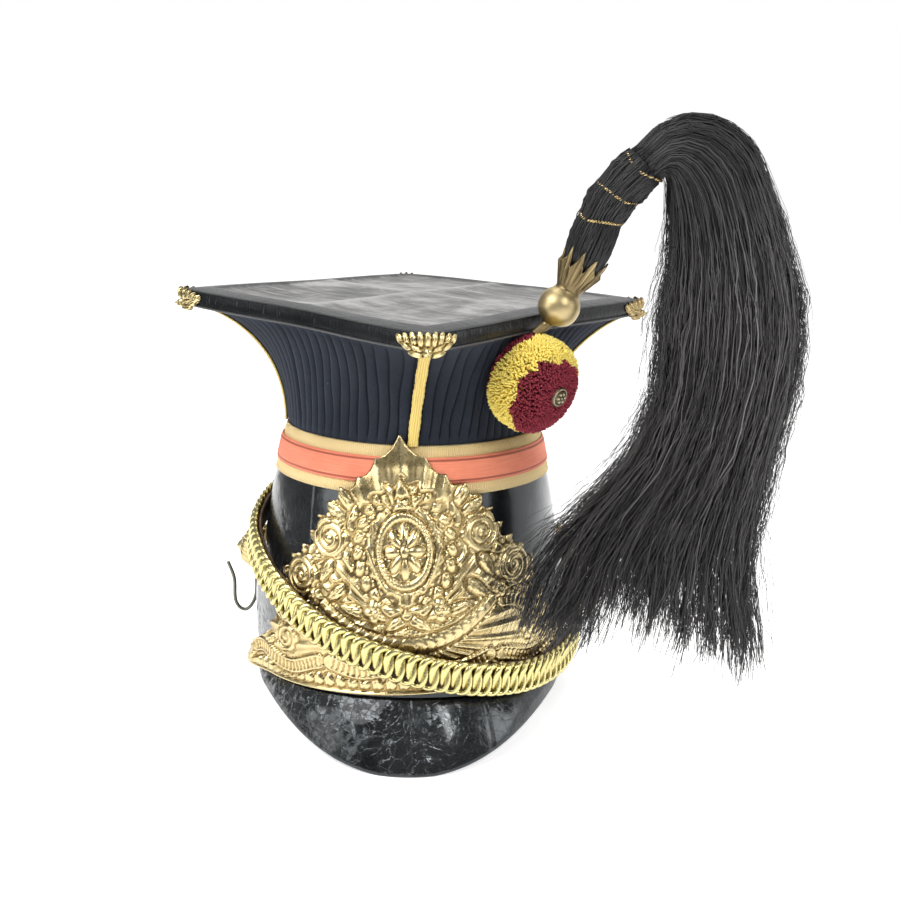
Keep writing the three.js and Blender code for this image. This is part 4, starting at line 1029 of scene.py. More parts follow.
# Bosses: two cast brass masks with a mane of curled locks and a heavy muzzle, screwed to the sides of
# the skull a little behind the middle. The chain's ends meet under them.
BOSS_ANGLE, BOSS_HEIGHT = np.radians(9), 68.5
BOSS_RADIUS, BOSS_REACH, BOSS_PITCH = 12.4, 13.2, 0.34
boss_rise = curve([0, 2.2, 4.0, 6.5, 9.5, 12.4], [14.6, 14.2, 13.0, 11.4, 9.6, 4.0])


def boss_inside(X, Y):
    angle = np.arctan2(Y, X)
    return BOSS_RADIUS + 0.55 * np.cos(14 * angle + 0.4 * np.sin(3 * angle)) - np.hypot(X, Y)


def boss_height(X, Y):
    r, angle = np.hypot(X, Y + 2.2 * np.exp(-np.hypot(X, Y) / 6)), np.arctan2(Y, X)
    tall = boss_rise(np.clip(r, 0, BOSS_RADIUS))
    locks = np.abs(np.sin(7 * angle + 0.35 * r * np.sign(X))) ** 0.7
    tall = tall + 1.3 * (locks - 0.6) * smoothstep(r, 5.2, 7.4)
    for x in (-2.7, 2.7):
        tall = tall + 0.9 * hump(X - x, 1.5) * hump(Y - 3.2, 0.8)
        tall = tall - 1.1 * hump(X - x, 1.0) * hump(Y - 1.7, 0.7)
        tall = tall + 0.8 * hump(X - 0.6 * x, 1.3) * hump(Y + 2.2, 1.2)
    tall = tall - 1.5 * hump(X, 2.4) * hump(Y + 4.0 + 0.12 * X ** 2, 0.5)
    return np.maximum(tall + 0.5 * hump(X, 1.1) * hump(Y + 0.4, 0.8), 0.6)


boss_brass = cast_metal("cast_brass", (0.64, 0.52, 0.25), (0.38, 0.28, 0.12), (0.06, 0.04, 0.015), -0.5, 0.5)
boss_span = np.arange(-BOSS_REACH, BOSS_REACH + 0.1, BOSS_PITCH)
for name, angle in (("left", np.pi - BOSS_ANGLE), ("right", BOSS_ANGLE)):
    seat, around, up, straight = skull_frame(angle, BOSS_HEIGHT)

    def on_seat(X, Y, out):
        flat = seat + X[:, None] * around + Y[:, None] * up
        sagging = (X ** 2 + Y ** 2) / (2 * BOSS_RADIUS * 7) * (1 - smoothstep(out, 0, 8))
        return flat + straight * (2 * GAP + out - sagging)[:, None]

    mask = relief(f"boss_mask_{name}", boss_span, boss_span, boss_inside, boss_height, 0.0, on_seat)
    fitted(mask, boss_brass, "cast_brass", f"boss_{name}")


# Hook: a bent iron wire below the left boss, blued and rubbed. The loose end of the chin strap was
# hung on it when the cap was carried.
HOOK_ROUTE = np.array([
    [-88.2, 14, 53.6], [-88.4, 13, 39], [-90.8, 12, 32.8], [-94.3, 12, 29.7], [-97.9, 12, 31.2],
    [-100.1, 12, 36], [-100.5, 12, 49], [-103.8, 12, 59.3],
])
HOOK_RADIUS, HOOK_SIDES = 1.0, 14
ROD_ACROSS = [0.31, 0.83, 0.46]


def spokes(aside, third, angle):
    """Rings of points about each place, from its two directions across."""
    return aside[..., None, :] * np.cos(angle)[:, None] + third[..., None, :] * np.sin(angle)[:, None]


def rods(paths, radii, sides):
    """Closed round rods along many paths at once, with points and faces in one mesh."""
    count, steps = paths.shape[:2]
    ahead = unit(np.gradient(paths, axis=1))
    aside = unit(np.cross(ahead, ROD_ACROSS))
    ring = spokes(aside, np.cross(ahead, aside), turns(sides))
    points = (paths[:, :, None] + ring * radii[:, :, None, None]).reshape(-1, 3)
    first = (np.arange(count) * steps * sides)[:, None, None]
    walls = (net(steps, sides)[None] + first).reshape(-1, 4)
    ends = np.stack([np.arange(sides)[::-1], np.arange(sides) + (steps - 1) * sides])
    ends = (ends[None] + first).reshape(-1, sides)
    return points, walls, ends


hook_run = run_of(HOOK_ROUTE)
hook_share = np.concatenate([np.linspace(0, 0.01, 6), np.linspace(0.015, 0.985, 70), np.linspace(0.99, 1, 6)])
hook_path = curve(hook_run, HOOK_ROUTE)(hook_share * hook_run[-1])
tip = np.clip(np.minimum(hook_share, 1 - hook_share) * hook_run[-1] / HOOK_RADIUS, 0.02, 1)
hook = made("hook_wire", *rods(hook_path[None], (HOOK_RADIUS * dome(1 - tip))[None], HOOK_SIDES))
steel = Finish("hook_steel")
rust = steel.ramp(steel.noise(260.0, detail=6.0, roughness=0.7), (0.45, (0.17, 0.18, 0.155)),
                  (0.7, (0.20, 0.15, 0.09)))
steel.surface(base_color=rust, metallic=0.85, normal=steel.bumps((steel.noise(1200.0, detail=4.0), 0.05)),
              roughness=steel.ramp(steel.noise(300.0, detail=4.0), (0.35, 0.28), (0.7, 0.55)))
fitted(hook, steel.material, "hook_steel", "hook")


# Chin strap: a flat strap of brown leather that lies on the plate in front and on the skull behind,
# slanting down to one side. The chain is sewn along it.
STRAP_WIDTH, STRAP_WALL, STRAP_SET = 16.6, 1.6, -0.8
STRAP_FRONT, STRAP_BACK, STRAP_BLEND = 4.2, 0.5, 30.0
BELT_HEIGHT, BELT_PER_X, BELT_PER_Y = 66.5, -0.3, 0.2
BELT_DRAWN, DRAWN_MIDDLE, DRAWN_SPREAD = 2.6, FRONT + 0.2, 0.55
STRAP_STEPS = 260


def belt_frame(angle):
    """The seat of strap and chain: a slanted ring round the skull and its directions."""
    height = np.full(np.shape(angle), BELT_HEIGHT)
    for _ in range(4):
        x, y, _ = np.moveaxis(skull_point(angle, height), -1, 0)
        height = BELT_HEIGHT + BELT_PER_X * x + (BELT_PER_Y + LEAN) * y
    from_drawn = (angle - DRAWN_MIDDLE + np.pi) % (2 * np.pi) - np.pi
    height = height + BELT_DRAWN * hump(from_drawn, DRAWN_SPREAD)
    point, around, up, straight = skull_frame(angle, height)
    rear = smoothstep(point[..., 1], -STRAP_BLEND, STRAP_BLEND)
    seat = STRAP_FRONT + (STRAP_BACK - STRAP_FRONT) * rear
    return point + straight * seat[..., None], up, straight


half = STRAP_WIDTH / 2
strap_ring = [(-half + 0.4, 0.0), (0, 0.0), (half - 0.4, 0.0), (half, 0.5), (half, 1.1),
              (half - 0.6, STRAP_WALL), (0, STRAP_WALL), (-half + 0.6, STRAP_WALL), (-half, 1.1),
              (-half, 0.5)]
around = turns(STRAP_STEPS)
seats, ups, straights = belt_frame(around)
worn_edge = 0.25 * np.sin(around * 23) + 0.2 * np.sin(around * 41 + 1)
strap_rows = [ups * (a + STRAP_SET + worn_edge * np.sign(a) * (abs(a) > 1))[:, None] + straights * b
              for a, b in strap_ring]
strap_points = np.stack([seats + row for row in strap_rows], 1).reshape(-1, 3)
strap_net = net(STRAP_STEPS, len(strap_ring), endless=True)
strap = made("chin_strap_leather", strap_points, outward(strap_points, strap_net))
brown = Finish("strap_leather")
grain = brown.noise(500.0, detail=6.0, roughness=0.7)
wear = brown.noise(110.0, detail=5.0)
tan = brown.ramp(brown.mix(0.5, grain, wear), (0.36, (0.035, 0.020, 0.012)), (0.66, (0.20, 0.125, 0.075)))
brown.surface(base_color=tan, roughness=0.68, normal=brown.bumps((wear, 0.3), (grain, 0.2)))
fitted(strap, brown.material, "strap_leather", "chin_strap")


# Chin chain: one long curb chain of flattened brass wire. Every link is an oval, bent up on one side and
# down on the other so that it lies flat through its neighbours, and the whole is polished.
LINK_PITCH, LINK_WIDE, LINK_THICK = 5.6, 3.4, 2.2
LINK_LONG, LINK_TALL, LINK_TWIST, LINK_SQUARE = 3.9, 7.1, -1.0, 0.75
LINK_STEPS, LINK_SIDES = 28, 8
LINK_FULLER, LINK_TILT = 0.22, 0.03
CHAIN_LIFT = STRAP_WALL + GAP - LINK_TWIST + LINK_THICK / 2
fine = np.linspace(0, 2 * np.pi, 2001)
seats, ups, straights = belt_frame(fine)
ring_run = run_of(seats + straights * CHAIN_LIFT)
LINKS = round(ring_run[-1] / LINK_PITCH)
link_angle = np.interp((np.arange(LINKS) + 0.5) * ring_run[-1] / LINKS, ring_run, fine)
seats, ups, straights = belt_frame(link_angle)
forward = unit(np.cross(ups, straights))
bend = turns(LINK_STEPS)
squared = np.sign(np.cos(bend)) * np.abs(np.cos(bend)) ** LINK_SQUARE
wire = np.stack([LINK_LONG * squared, LINK_TALL * np.sin(bend), LINK_TWIST * np.sin(2 * bend)], -1)
ahead = unit(np.roll(wire, -1, 0) - np.roll(wire, 1, 0))
side = unit(np.cross(ahead, [0, 0, 1.0]))
angle = turns(LINK_SIDES)
widths = LINK_WIDE / 2 * (1 + LINK_FULLER * np.sin(bend))[:, None]
one_link = wire[:, None] + spokes(side * widths, np.cross(side, ahead) * (LINK_THICK / 2), angle)
one_link = one_link.reshape(-1, 3)
basis = np.stack([forward, ups, straights], 1)
tilt = chance.normal(0, LINK_TILT, LINKS)
chain_points = seats[:, None] + straights[:, None] * CHAIN_LIFT + np.einsum("pk,lkd->lpd", one_link, basis)
chain_points = chain_points + tilt[:, None, None] * straights[:, None] * one_link[None, :, :1]
link_net = net(LINK_STEPS, LINK_SIDES, endless=True)
chain_net = (link_net[None] + (np.arange(LINKS) * len(one_link))[:, None, None]).reshape(-1, 4)
chain_points = chain_points.reshape(-1, 3)
# Painted highlight and shade: the worn mark makes each wire lighter along its middle and its outer face and
# darker towards its edges.
high = np.tile(one_link[:, 2] - 0.9 * np.abs(np.tile(np.cos(angle), LINK_STEPS)), LINKS)
chain = made("chin_chain_links", chain_points, outward(chain_points, chain_net), marks={"worn": high})
chain_brass = cast_metal("chain_brass", (0.68, 0.60, 0.27), (0.40, 0.32, 0.105), (0.05, 0.03, 0.006),
                         -1.7, 1.5, (0.2, 0.38))
fitted(chain, chain_brass, "chain_brass", "chin_chain")


# Rosette: a thick round pompon of cut worsted wound on a card: a crimson back, a deep yellow ring and a
# crimson face whose edge runs out into the yellow in soft lobes. It is sewn to the cloth and hides its core.
ROSETTE_CENTRE = np.array([53.9, -71.4, 181.8])
ROSETTE_AXIS = unit(np.array([0.62, -0.76, -0.22]))
ROSETTE_SIDE = unit(np.cross(ROSETTE_AXIS, [0, 0, 1.0]))
ROSETTE_RISE = np.cross(ROSETTE_SIDE, ROSETTE_AXIS)
ROSETTE_PROFILE = np.array([  # radius and distance along the axis, from the back round to the face
    [9, -12.6], [15.6, -11.4], [20.2, -9], [22, -5.4], [22.8, -2], [22.6, 5], [20.8, 9.5], [17.6, 12.1],
    [14, 15], [9, 16.8], [5.0, 17.0],
])
OUTLINE_STEPS = 400
TUFTS, TUFT_SIDES = 5000, 4
CORE_INSET, CORE_SHORTER, CORE_STEPS = 2.2, 0.86, 72
CORE_ROWS = {"back": (0, 150), "ring": (100, 320), "face": (270, 400)}
FACE_EDGE = np.array([  # degrees from the near side over the top, distance along the axis
    [0, 8.5], [45, 10.5], [90, 14.0], [135, 13.0], [180, 8.0], [225, 4.0], [270, 4.0], [315, 7.0], [360, 8.5],
])
BACK_EDGE = np.array([[0, -8.8], [40, -6.0], [70, -2.0], [110, -6.0], [150, -8.8], [360, -8.8]])


def about_rosette(radius, turn, along):
    spoke = np.cos(turn)[..., None] * ROSETTE_SIDE + np.sin(turn)[..., None] * ROSETTE_RISE
    return ROSETTE_CENTRE + radius[..., None] * spoke + along[..., None] * ROSETTE_AXIS


profile_run = run_of(ROSETTE_PROFILE)
outline = curve(profile_run, ROSETTE_PROFILE)(np.linspace(0, profile_run[-1], OUTLINE_STEPS))
outline_rows = np.arange(OUTLINE_STEPS)
spread = np.concatenate([[0], np.cumsum(np.diff(run_of(outline)) * outline[1:, 0])])
tuft_row = np.interp((np.arange(TUFTS) + 0.5) / TUFTS * spread[-1], spread, outline_rows)
tuft_turn = np.arange(TUFTS) * np.pi * (3 - np.sqrt(5)) + chance.normal(0, 0.03, TUFTS)
slope = np.gradient(outline, axis=0)
tuft_radius, tuft_along, lean_out, lean_on = (
    np.interp(tuft_row, outline_rows, values) for values in (*outline.T, slope[:, 1], -slope[:, 0]))
spoke = unit(about_rosette(np.ones(TUFTS), tuft_turn, np.zeros(TUFTS)) - ROSETTE_CENTRE)
away = unit(lean_out[:, None] * spoke + lean_on[:, None] * ROSETTE_AXIS)
away = unit(away + chance.normal(0, 0.2, (TUFTS, 3)))
base = about_rosette(tuft_radius, tuft_turn, tuft_along)
degrees = np.degrees(tuft_turn) % 360
scallop = 0.9 * np.cos(9 * tuft_turn) + chance.normal(0, 0.45, TUFTS)
in_face = tuft_along > np.interp(degrees, *FACE_EDGE.T) + scallop
in_back = tuft_along < np.interp(degrees, *BACK_EDGE.T) + 0.5 * scallop
group = np.where(in_back, 0, np.where(in_face, 2, 1))
TUFT_STEPS = np.array([-CORE_INSET - 0.9, -0.4, 0.6, 1.0])
TUFT_GIRTH = np.array([0.8, 1.0, 0.8, 0.2])
TUFT_SHADE_TO_TIP = np.array([0.0, 0.3, 0.8, 1.0])
stretch = chance.uniform(0.7, 1.7, TUFTS)
tuft_paths = base[:, None] + away[:, None] * (TUFT_STEPS[None, :] * stretch[:, None])[..., None]
tuft_paths = tuft_paths + chance.normal(0, 0.14, tuft_paths.shape)
tuft_radii = TUFT_GIRTH[None, :] * chance.uniform(0.48, 0.74, TUFTS)[:, None]
tuft_tone = chance.uniform(0, 1, TUFTS)


def worsted(name, light, mid, deep):
    """Soft cut wool with a fine fuzz of fibres, painted with shade: light at the tips and deep at the roots,
    between the tufts.
    """
    yarn = Finish(name)
    tip, tone = yarn.mark("tip"), yarn.mark("tone")
    fuzz = yarn.noise(2200.0, detail=5.0, roughness=0.75)
    shade = yarn.math("ADD", yarn.math("MULTIPLY", tip, 0.55), yarn.math("MULTIPLY", tone, 0.25))
    shade = yarn.math("ADD", shade, yarn.math("MULTIPLY", fuzz, 0.35), clamp=True)
    yarn.surface(base_color=yarn.ramp(shade, (0.2, deep), (0.5, mid), (0.95, light)), roughness=0.9,
                 normal=yarn.bumps((fuzz, 0.22)), specular_ior_level=0.15, sheen_weight=0.8,
                 sheen_roughness=0.4, sheen_tint=light)
    return yarn.material


# Light, mid and deep colours; the deep one is painted shade between the tufts.
CRIMSON = ((0.33, 0.05, 0.07), (0.19, 0.024, 0.04), (0.055, 0.007, 0.012))
YELLOW = ((1.0, 0.86, 0.26), (1.0, 0.79, 0.15), (1.0, 0.68, 0.08))
crimson_yarn, yellow_yarn = worsted("crimson_wool", *CRIMSON), worsted("yellow_wool", *YELLOW)
wool_groups = (("back", "crimson_wool", crimson_yarn), ("ring", "yellow_wool", yellow_yarn),
               ("face", "crimson_wool", crimson_yarn))
for k, (name, slot, yarn) in enumerate(wool_groups):
    mine = group == k
    points, walls, ends = rods(tuft_paths[mine], tuft_radii[mine], TUFT_SIDES)
    rim = outline[np.linspace(*CORE_ROWS[name], 9).astype(int).clip(0, OUTLINE_STEPS - 1)]
    core_points, core_faces = capped(np.stack([
        about_rosette(np.full(CORE_STEPS, max(r - CORE_INSET, 0.4)), turns(CORE_STEPS),
                      np.full(CORE_STEPS, a * CORE_SHORTER)) for r, a in rim]))
    # Painted shade: the tufts are laid dark at their roots and light at their tips, and the core takes the
    # darkest colour.
    tips = np.tile(np.repeat(TUFT_SHADE_TO_TIP, TUFT_SIDES), mine.sum())
    tones = np.repeat(tuft_tone[mine], len(TUFT_SHADE_TO_TIP) * TUFT_SIDES)
    marks = {"tip": np.append(tips, np.zeros(len(core_points))),
             "tone": np.append(tones, np.full(len(core_points), 0.2))}
    piece = made(f"rosette_{name}_tufts", np.concatenate([points, core_points]), walls, ends,
                 core_faces + len(points), marks=marks)
    fitted(piece, yarn, slot, f"rosette_{name}")


# Rosette button: a small pressed brass button with a flower and a roped rim, shanked through the pompon.
BUTTON_RADIUS, BUTTON_SEAT, BUTTON_PITCH = 5.0, 17.3, 0.2


def button_inside(X, Y):
    return BUTTON_RADIUS - np.hypot(X, Y)


def button_height(X, Y):
    r, angle = polar(X, Y)
    swelled = 0.8 + 1.3 * (1 - (r / BUTTON_RADIUS) ** 2)
    rope = 0.7 * hump(r - 4.2, 0.35) * (0.7 + 0.3 * np.cos(26 * angle + 5 * r))
    petals = hump(r - 2.1, 0.8) * np.abs(np.cos(3 * angle)) ** 1.4
    return swelled + rope + petals + 0.55 * hump(r, 0.75)


def on_rosette(X, Y, out):
    across = X[:, None] * ROSETTE_SIDE + Y[:, None] * ROSETTE_RISE
    return ROSETTE_CENTRE + across + (BUTTON_SEAT + out)[:, None] * ROSETTE_AXIS


button_span = np.arange(-BUTTON_RADIUS - 0.2, BUTTON_RADIUS + 0.3, BUTTON_PITCH)
button = relief("rosette_button_brass", button_span, button_span, button_inside, button_height, 0.0,
                on_rosette)
button_brass = cast_metal("button_brass", (0.42, 0.36, 0.24), (0.06, 0.045, 0.025), (0.012, 0.008, 0.004),
                          0.0, 0.28)
fitted(button, button_brass, "cast_brass", "rosette_button")


# Plume socket: a cast brass ball on a short stem behind the rosette, and above it a cup of ten fluted
# leaves that grips the foot of the plume.
SOCKET_CENTRE = np.array([66.1, -65.7, 218.2])
SOCKET_AXIS = unit(np.array([0.449, 0.02, 0.894]))
SOCKET_SIDE = unit(np.cross(SOCKET_AXIS, [0, 1.0, 0]))
SOCKET_RISE = np.cross(SOCKET_AXIS, SOCKET_SIDE)
SOCKET_LEAVES = 10
SOCKET_SECTIONS = np.array([  # along the axis, radius, set towards the rosette, share of the leaf points
    [-14.3, 2.4, 5.8, 0], [-11.6, 2.6, 3.3, 0], [-9.2, 2.8, 1.2, 0], [-8.2, 5.2, 0.2, 0], [-6.4, 7.9, 0, 0],
    [-3.2, 9.8, 0, 0], [1.4, 10.2, 0, 0], [5.0, 8.9, 0, 0], [7.4, 6.9, 0, 0], [8.8, 6.3, 0, 0],
    [10.2, 6.7, 0, 0], [16, 8.8, 0, 0.3], [22.6, 10.9, 0, 1], [23.4, 10.5, 0, 1], [22.8, 9.9, 0, 1],
    [18, 8.6, 0, 0.4], [14.4, 7.4, 0, 0],
])
LEAF_COLUMNS, LEAF_POINT, LEAF_FLUTE, LEAF_GAP = 12, 5.0, 0.5, 0.8
SOCKET_COLUMNS, SOCKET_ROWS = LEAF_COLUMNS * SOCKET_LEAVES, 81
section_rows = np.linspace(0, len(SOCKET_SECTIONS) - 1, SOCKET_ROWS)
rows = curve(np.arange(len(SOCKET_SECTIONS)), SOCKET_SECTIONS)(section_rows)
columns = np.arange(SOCKET_COLUMNS) / LEAF_COLUMNS
leaf_share = np.abs(2 * (columns % 1) - 1)
leaf_uneven = np.repeat(chance.uniform(0.75, 1.25, SOCKET_LEAVES), LEAF_COLUMNS)
leaf_point = LEAF_POINT * (1.7 * leaf_share ** 1.25 - 0.85) * leaf_uneven
flutes = LEAF_FLUTE * np.cos(4 * np.pi * columns) - LEAF_GAP * (leaf_share < 0.1)
towards = ROSETTE_CENTRE - SOCKET_CENTRE
towards = unit(np.array([towards[0], towards[1], 0]))
socket_turn = turns(SOCKET_COLUMNS)
socket_spoke = np.cos(socket_turn)[:, None] * SOCKET_SIDE + np.sin(socket_turn)[:, None] * SOCKET_RISE
socket_rings, socket_wear_and_shade = [], []
for along, radius, aside, leaf in rows:
    cut = flutes * smoothstep(along, 9.5, 15)
    socket_rings.append(SOCKET_CENTRE + aside * towards + (radius + cut)[:, None] * socket_spoke
                        + (along + leaf * leaf_point)[:, None] * SOCKET_AXIS)
    # Painted shade: the neck between ball and cup and the stem under the ball are laid dark. The leaves are
    # darker than the ball, and the flutes darker in their grooves.
    rubbed = 0.1 - 0.7 * hump(along - 8.8, 1.2) - 0.9 * (along < -8.6) - 0.85 * (along > 9.4)
    socket_wear_and_shade.append(rubbed + 1.3 * cut)
socket_points, socket_faces = capped(np.stack(socket_rings))
socket_wear_and_shade.append([-0.4, -0.6])
socket = made("plume_socket_brass", socket_points, socket_faces, marks={"worn": np.concatenate(socket_wear_and_shade)})
socket_brass = cast_metal("socket_brass", (0.50, 0.40, 0.21), (0.20, 0.15, 0.075), (0.03, 0.02, 0.008),
                          -0.55, 0.6, (0.34, 0.55))
fitted(socket, socket_brass, "socket_brass", "plume_socket")


# Plume stalk: the foot of the plume, horsehair laid straight round a cane and bound tight, bent over
# towards its head.
STALK_SECTIONS = np.array([  # middle, and radius
    [73, -65.4, 232, 6.6], [76.4, -65.2, 238.8, 8.9], [80.6, -65.4, 250.2, 10.2], [84.7, -65.6, 261.5, 9.4],
    [87.9, -65.9, 267.7, 10.6], [91.9, -66.3, 273.2, 9.7], [97, -66.7, 278.9, 10.6],
    [102.9, -67.2, 284.4, 9.5], [106.1, -67.4, 287.2, 9.4],
])
STALK_STRANDS, STALK_STEPS, HAIR_SIDES = 420, 14, 3
BODY_STEPS, BODY_ROWS, BODY_SHARE = 48, 60, 0.96
stalk_run = run_of(STALK_SECTIONS[:, :3])
stalk_at = curve(stalk_run, STALK_SECTIONS)


def stalk_ring(run, turn, reach):
    """Points round the stalk at a run along it, at a share of its radius."""
    middle, on = stalk_at(run), stalk_at(run + 0.05)
    ahead = unit(on[..., :3] - middle[..., :3])
    aside = unit(np.cross(ahead, [0, 1.0, 0]))
    third = np.cross(ahead, aside)
    spoke = np.cos(turn)[..., None] * aside + np.sin(turn)[..., None] * third
    return middle[..., :3] + spoke * (middle[..., 3] * reach)[..., None]


hair_turn = chance.uniform(0, 2 * np.pi, STALK_STRANDS)
hair_start = np.clip(chance.normal(0.03, 0.05, STALK_STRANDS), 0, 0.2)
stalk_end = stalk_run[7] / stalk_run[-1]
hair_share = hair_start[:, None] + (stalk_end - hair_start)[:, None] * np.linspace(0, 1, STALK_STEPS)
hair_run = hair_share * stalk_run[-1]
sway = chance.normal(0, 0.05, (STALK_STRANDS, 1))
sway = sway * np.sin(hair_share * 9 + chance.uniform(0, 6, (STALK_STRANDS, 1)))
reach = 1.0 + chance.uniform(-0.05, 0.05, (STALK_STRANDS, 1)) + chance.exponential(0.025, hair_share.shape)
stalk_paths = stalk_ring(hair_run, hair_turn[:, None] + sway + 0.25 * hair_share, reach)
stalk_radii = np.repeat(chance.uniform(0.3, 0.55, (STALK_STRANDS, 1)), STALK_STEPS, 1)
points, walls, ends = rods(stalk_paths, stalk_radii, HAIR_SIDES)
body_points, body_faces = capped(np.stack([
    stalk_ring(np.full(BODY_STEPS, run), turns(BODY_STEPS), np.full(BODY_STEPS, BODY_SHARE))
    for run in np.linspace(0, stalk_run[-1], BODY_ROWS)]))
stalk_tone = np.repeat(0.3 * chance.uniform(0, 1, STALK_STRANDS) ** 1.5, HAIR_SIDES * STALK_STEPS)
stalk_tone = np.append(stalk_tone, np.full(len(body_points), 0.1))
stalk = made("plume_stalk_hair", np.concatenate([points, body_points]), walls, ends, body_faces + len(points),
             marks={"tone": stalk_tone})


def horsehair(name):
    """Coarse black hair with a soft sheen; some strands are greyer or browner than others."""
    hair = Finish(name)
    tone = hair.mark("tone")
    dye = hair.ramp(tone, (0.0, (0.012, 0.012, 0.013)), (0.5, (0.05, 0.048, 0.05)),
                    (0.85, (0.115, 0.11, 0.11)), (1.0, (0.19, 0.18, 0.175)))
    dusty = hair.noise(60.0, detail=5.0)
    hair.surface(base_color=hair.mix(hair.ramp(dusty, (0.5, 0.0), (0.8, 0.2)), dye, (0.08, 0.077, 0.075)),
                 roughness=hair.ramp(tone, (0.0, 0.4), (1.0, 0.6)), specular_ior_level=0.4)
    return hair.material


black_hair = horsehair("horsehair")
fitted(stalk, black_hair, "horsehair", "plume_stalk")


# Wire rings: three bindings round the stalk, each a pair of gilt wires twisted together like a cord.
RING_ROWS = {1: 3, 2: 5, 3: 7}  # name, and row of the stalk's sections
RING_STEPS, RING_SIDES, RING_TWISTS = 180, 6, 22
WIRE_RADIUS, CORD_RADIUS, CORD_STANDOFF = 0.46, 0.45, 0.6
gilt = cast_metal("gilt_wire", (0.60, 0.45, 0.21), (0.26, 0.18, 0.08), (0.03, 0.02, 0.01),
                  -0.8, 0.8, (0.25, 0.5))
turn = turns(RING_STEPS)
for name, row in RING_ROWS.items():
    middle = stalk_at(stalk_run[row])
    slant = CORD_STANDOFF * np.sin(3 * turn + row) - 3.2 * np.sin(turn) - 2.6 * np.cos(turn)
    points, faces = [], []
    for k, phase in enumerate((0, np.pi)):
        twist = RING_TWISTS * turn + phase
        run = stalk_run[row] + CORD_RADIUS * np.sin(twist) + slant
        radius = middle[3] + CORD_STANDOFF + CORD_RADIUS * np.cos(twist)
        path = stalk_ring(run, turn, radius / stalk_at(run)[:, 3])
        ahead = unit(np.roll(path, -1, 0) - np.roll(path, 1, 0))
        aside = unit(np.cross(ahead, unit(path - middle[:3])))
        tube = path[:, None] + WIRE_RADIUS * spokes(aside, np.cross(ahead, aside), turns(RING_SIDES))
        points.append(tube.reshape(-1, 3))
        faces.append(net(RING_STEPS, RING_SIDES, endless=True) + RING_STEPS * RING_SIDES * k)
    points, faces = np.concatenate(points), np.concatenate(faces)
    ring = made(f"plume_ring_twist_{name}", points, outward(points, faces),
                marks={"worn": chance.normal(0, 0.4, len(points))})
    fitted(ring, gilt, "gilt_wire", f"plume_ring_{name}")


# Plume fall: long black horsehair that leaves the bent head of the stalk, arches over and hangs beside
# the cap. The strands lie in loose locks, gather into pointed tufts at their uneven ends, and fray out
# at the edges. A dark body inside, painted the darkest black as the shade deep in the hair, keeps the light
# from showing through.
FALL_ROWS = np.array([  # near edge across and up, far edge across and up, depth, half thickness
    [113, 280.4, 100.3, 294.8, -67.4, 9.6], [114, 279.6, 110, 304.5, -67.7, 12],
    [115, 276.5, 122.7, 308.8, -68.4, 14], [115.6, 270, 138, 306, -69.5, 15.5],
    [116.4, 260, 152.5, 294, -71, 17], [117, 241, 168.5, 259, -73, 18], [115, 213, 180, 222, -76, 19],
    [112.6, 178, 178.4, 184, -80, 19], [99, 146, 169.4, 140, -86, 18], [73, 112, 165, 98, -94, 15],
    [52, 67, 172.5, 50, -103, 11],
])
BOUND_FULLER, BOUND_RUN = 1.03, (-0.6, 2.0)
FALL_LAYERS = {  # strands, steps along each, and how deep and how far out in the section they lie
    "under": (260, 12, 0.5, 0.8), "middle": (740, 26, 0.72, 0.95), "outer": (980, 26, 0.86, 1.02),
    "loose": (640, 18, 0.85, 1.06),
}
LOCKS, CRIMPS, END_TUFTS = 90, 44, 26
LOCK_GATHER, TUFT_GATHER, TUFT_FROM = 0.3, 0.7, 0.76
END_UNEVEN, TUFT_UNEVEN, TUFT_POINTED = 0.014, 0.012, 0.9
SHORTER = ((0.32, 0.09), (0.5, 0.18))  # where across the fall the ends are shorter, and how widely
SHORTER_BY = 0.04
SWEPT, SWEPT_SPREAD = 0.14, 1.1
AT_EDGES, AT_NEAR_EDGE = 0.8, 0.64
WILD, FRAYED, STRAY = 0.1, 0.07, {"near": 0.06, "far": 0.035}
SIDE_LIMITS = (-0.45, 1.07)
CRIMP, RUFFLE = 0.8, 0.5
STRAND_RADIUS = (0.2, 0.42)
BODY_FILL, BODY_END, BODY_TURNS, BODY_LENGTHS = 0.86, 0.95, 28, 40
BODY_TAPER = ((0.7, 0.97), (0.74, 0.95))  # where the body runs out, and its near side

binding = stalk_at(stalk_run[7] + np.array(BOUND_RUN))
bound_thick = binding[:, 3:] * BOUND_FULLER
bound_ahead = unit(STALK_SECTIONS[8, :3] - STALK_SECTIONS[7, :3])
bound_aside = unit(np.cross(bound_ahead, [0, 1.0, 0])) * bound_thick
bound_near, bound_far = binding[:, :3] - bound_aside, binding[:, :3] + bound_aside
bound_rows = np.concatenate([bound_near[:, [0, 2]], bound_far[:, [0, 2]], binding[:, 1:2], bound_thick], 1)
fall_rows = np.concatenate([bound_rows, FALL_ROWS])
fall_middle = np.concatenate([(fall_rows[:, :2] + fall_rows[:, 2:4]) / 2, fall_rows[:, 4:5]], 1)
fall_run = run_of(fall_middle)
fall_at = curve(fall_run / fall_run[-1], fall_rows)


def fall_point(share, across, deep):
    near_x, near_z, far_x, far_z, y, thick = np.moveaxis(fall_at(share), -1, 0)
    x, z = near_x + (far_x - near_x) * across, near_z + (far_z - near_z) * across
    return np.stack([x, y + thick * deep, z], -1)


def nearest(across, places, loosely):
    """Which of the places each strand belongs to, with some strands led astray."""
    away = np.abs(across[:, None] - places) + chance.uniform(0, loosely, (len(across), len(places)))
    return np.argmin(away, 1)


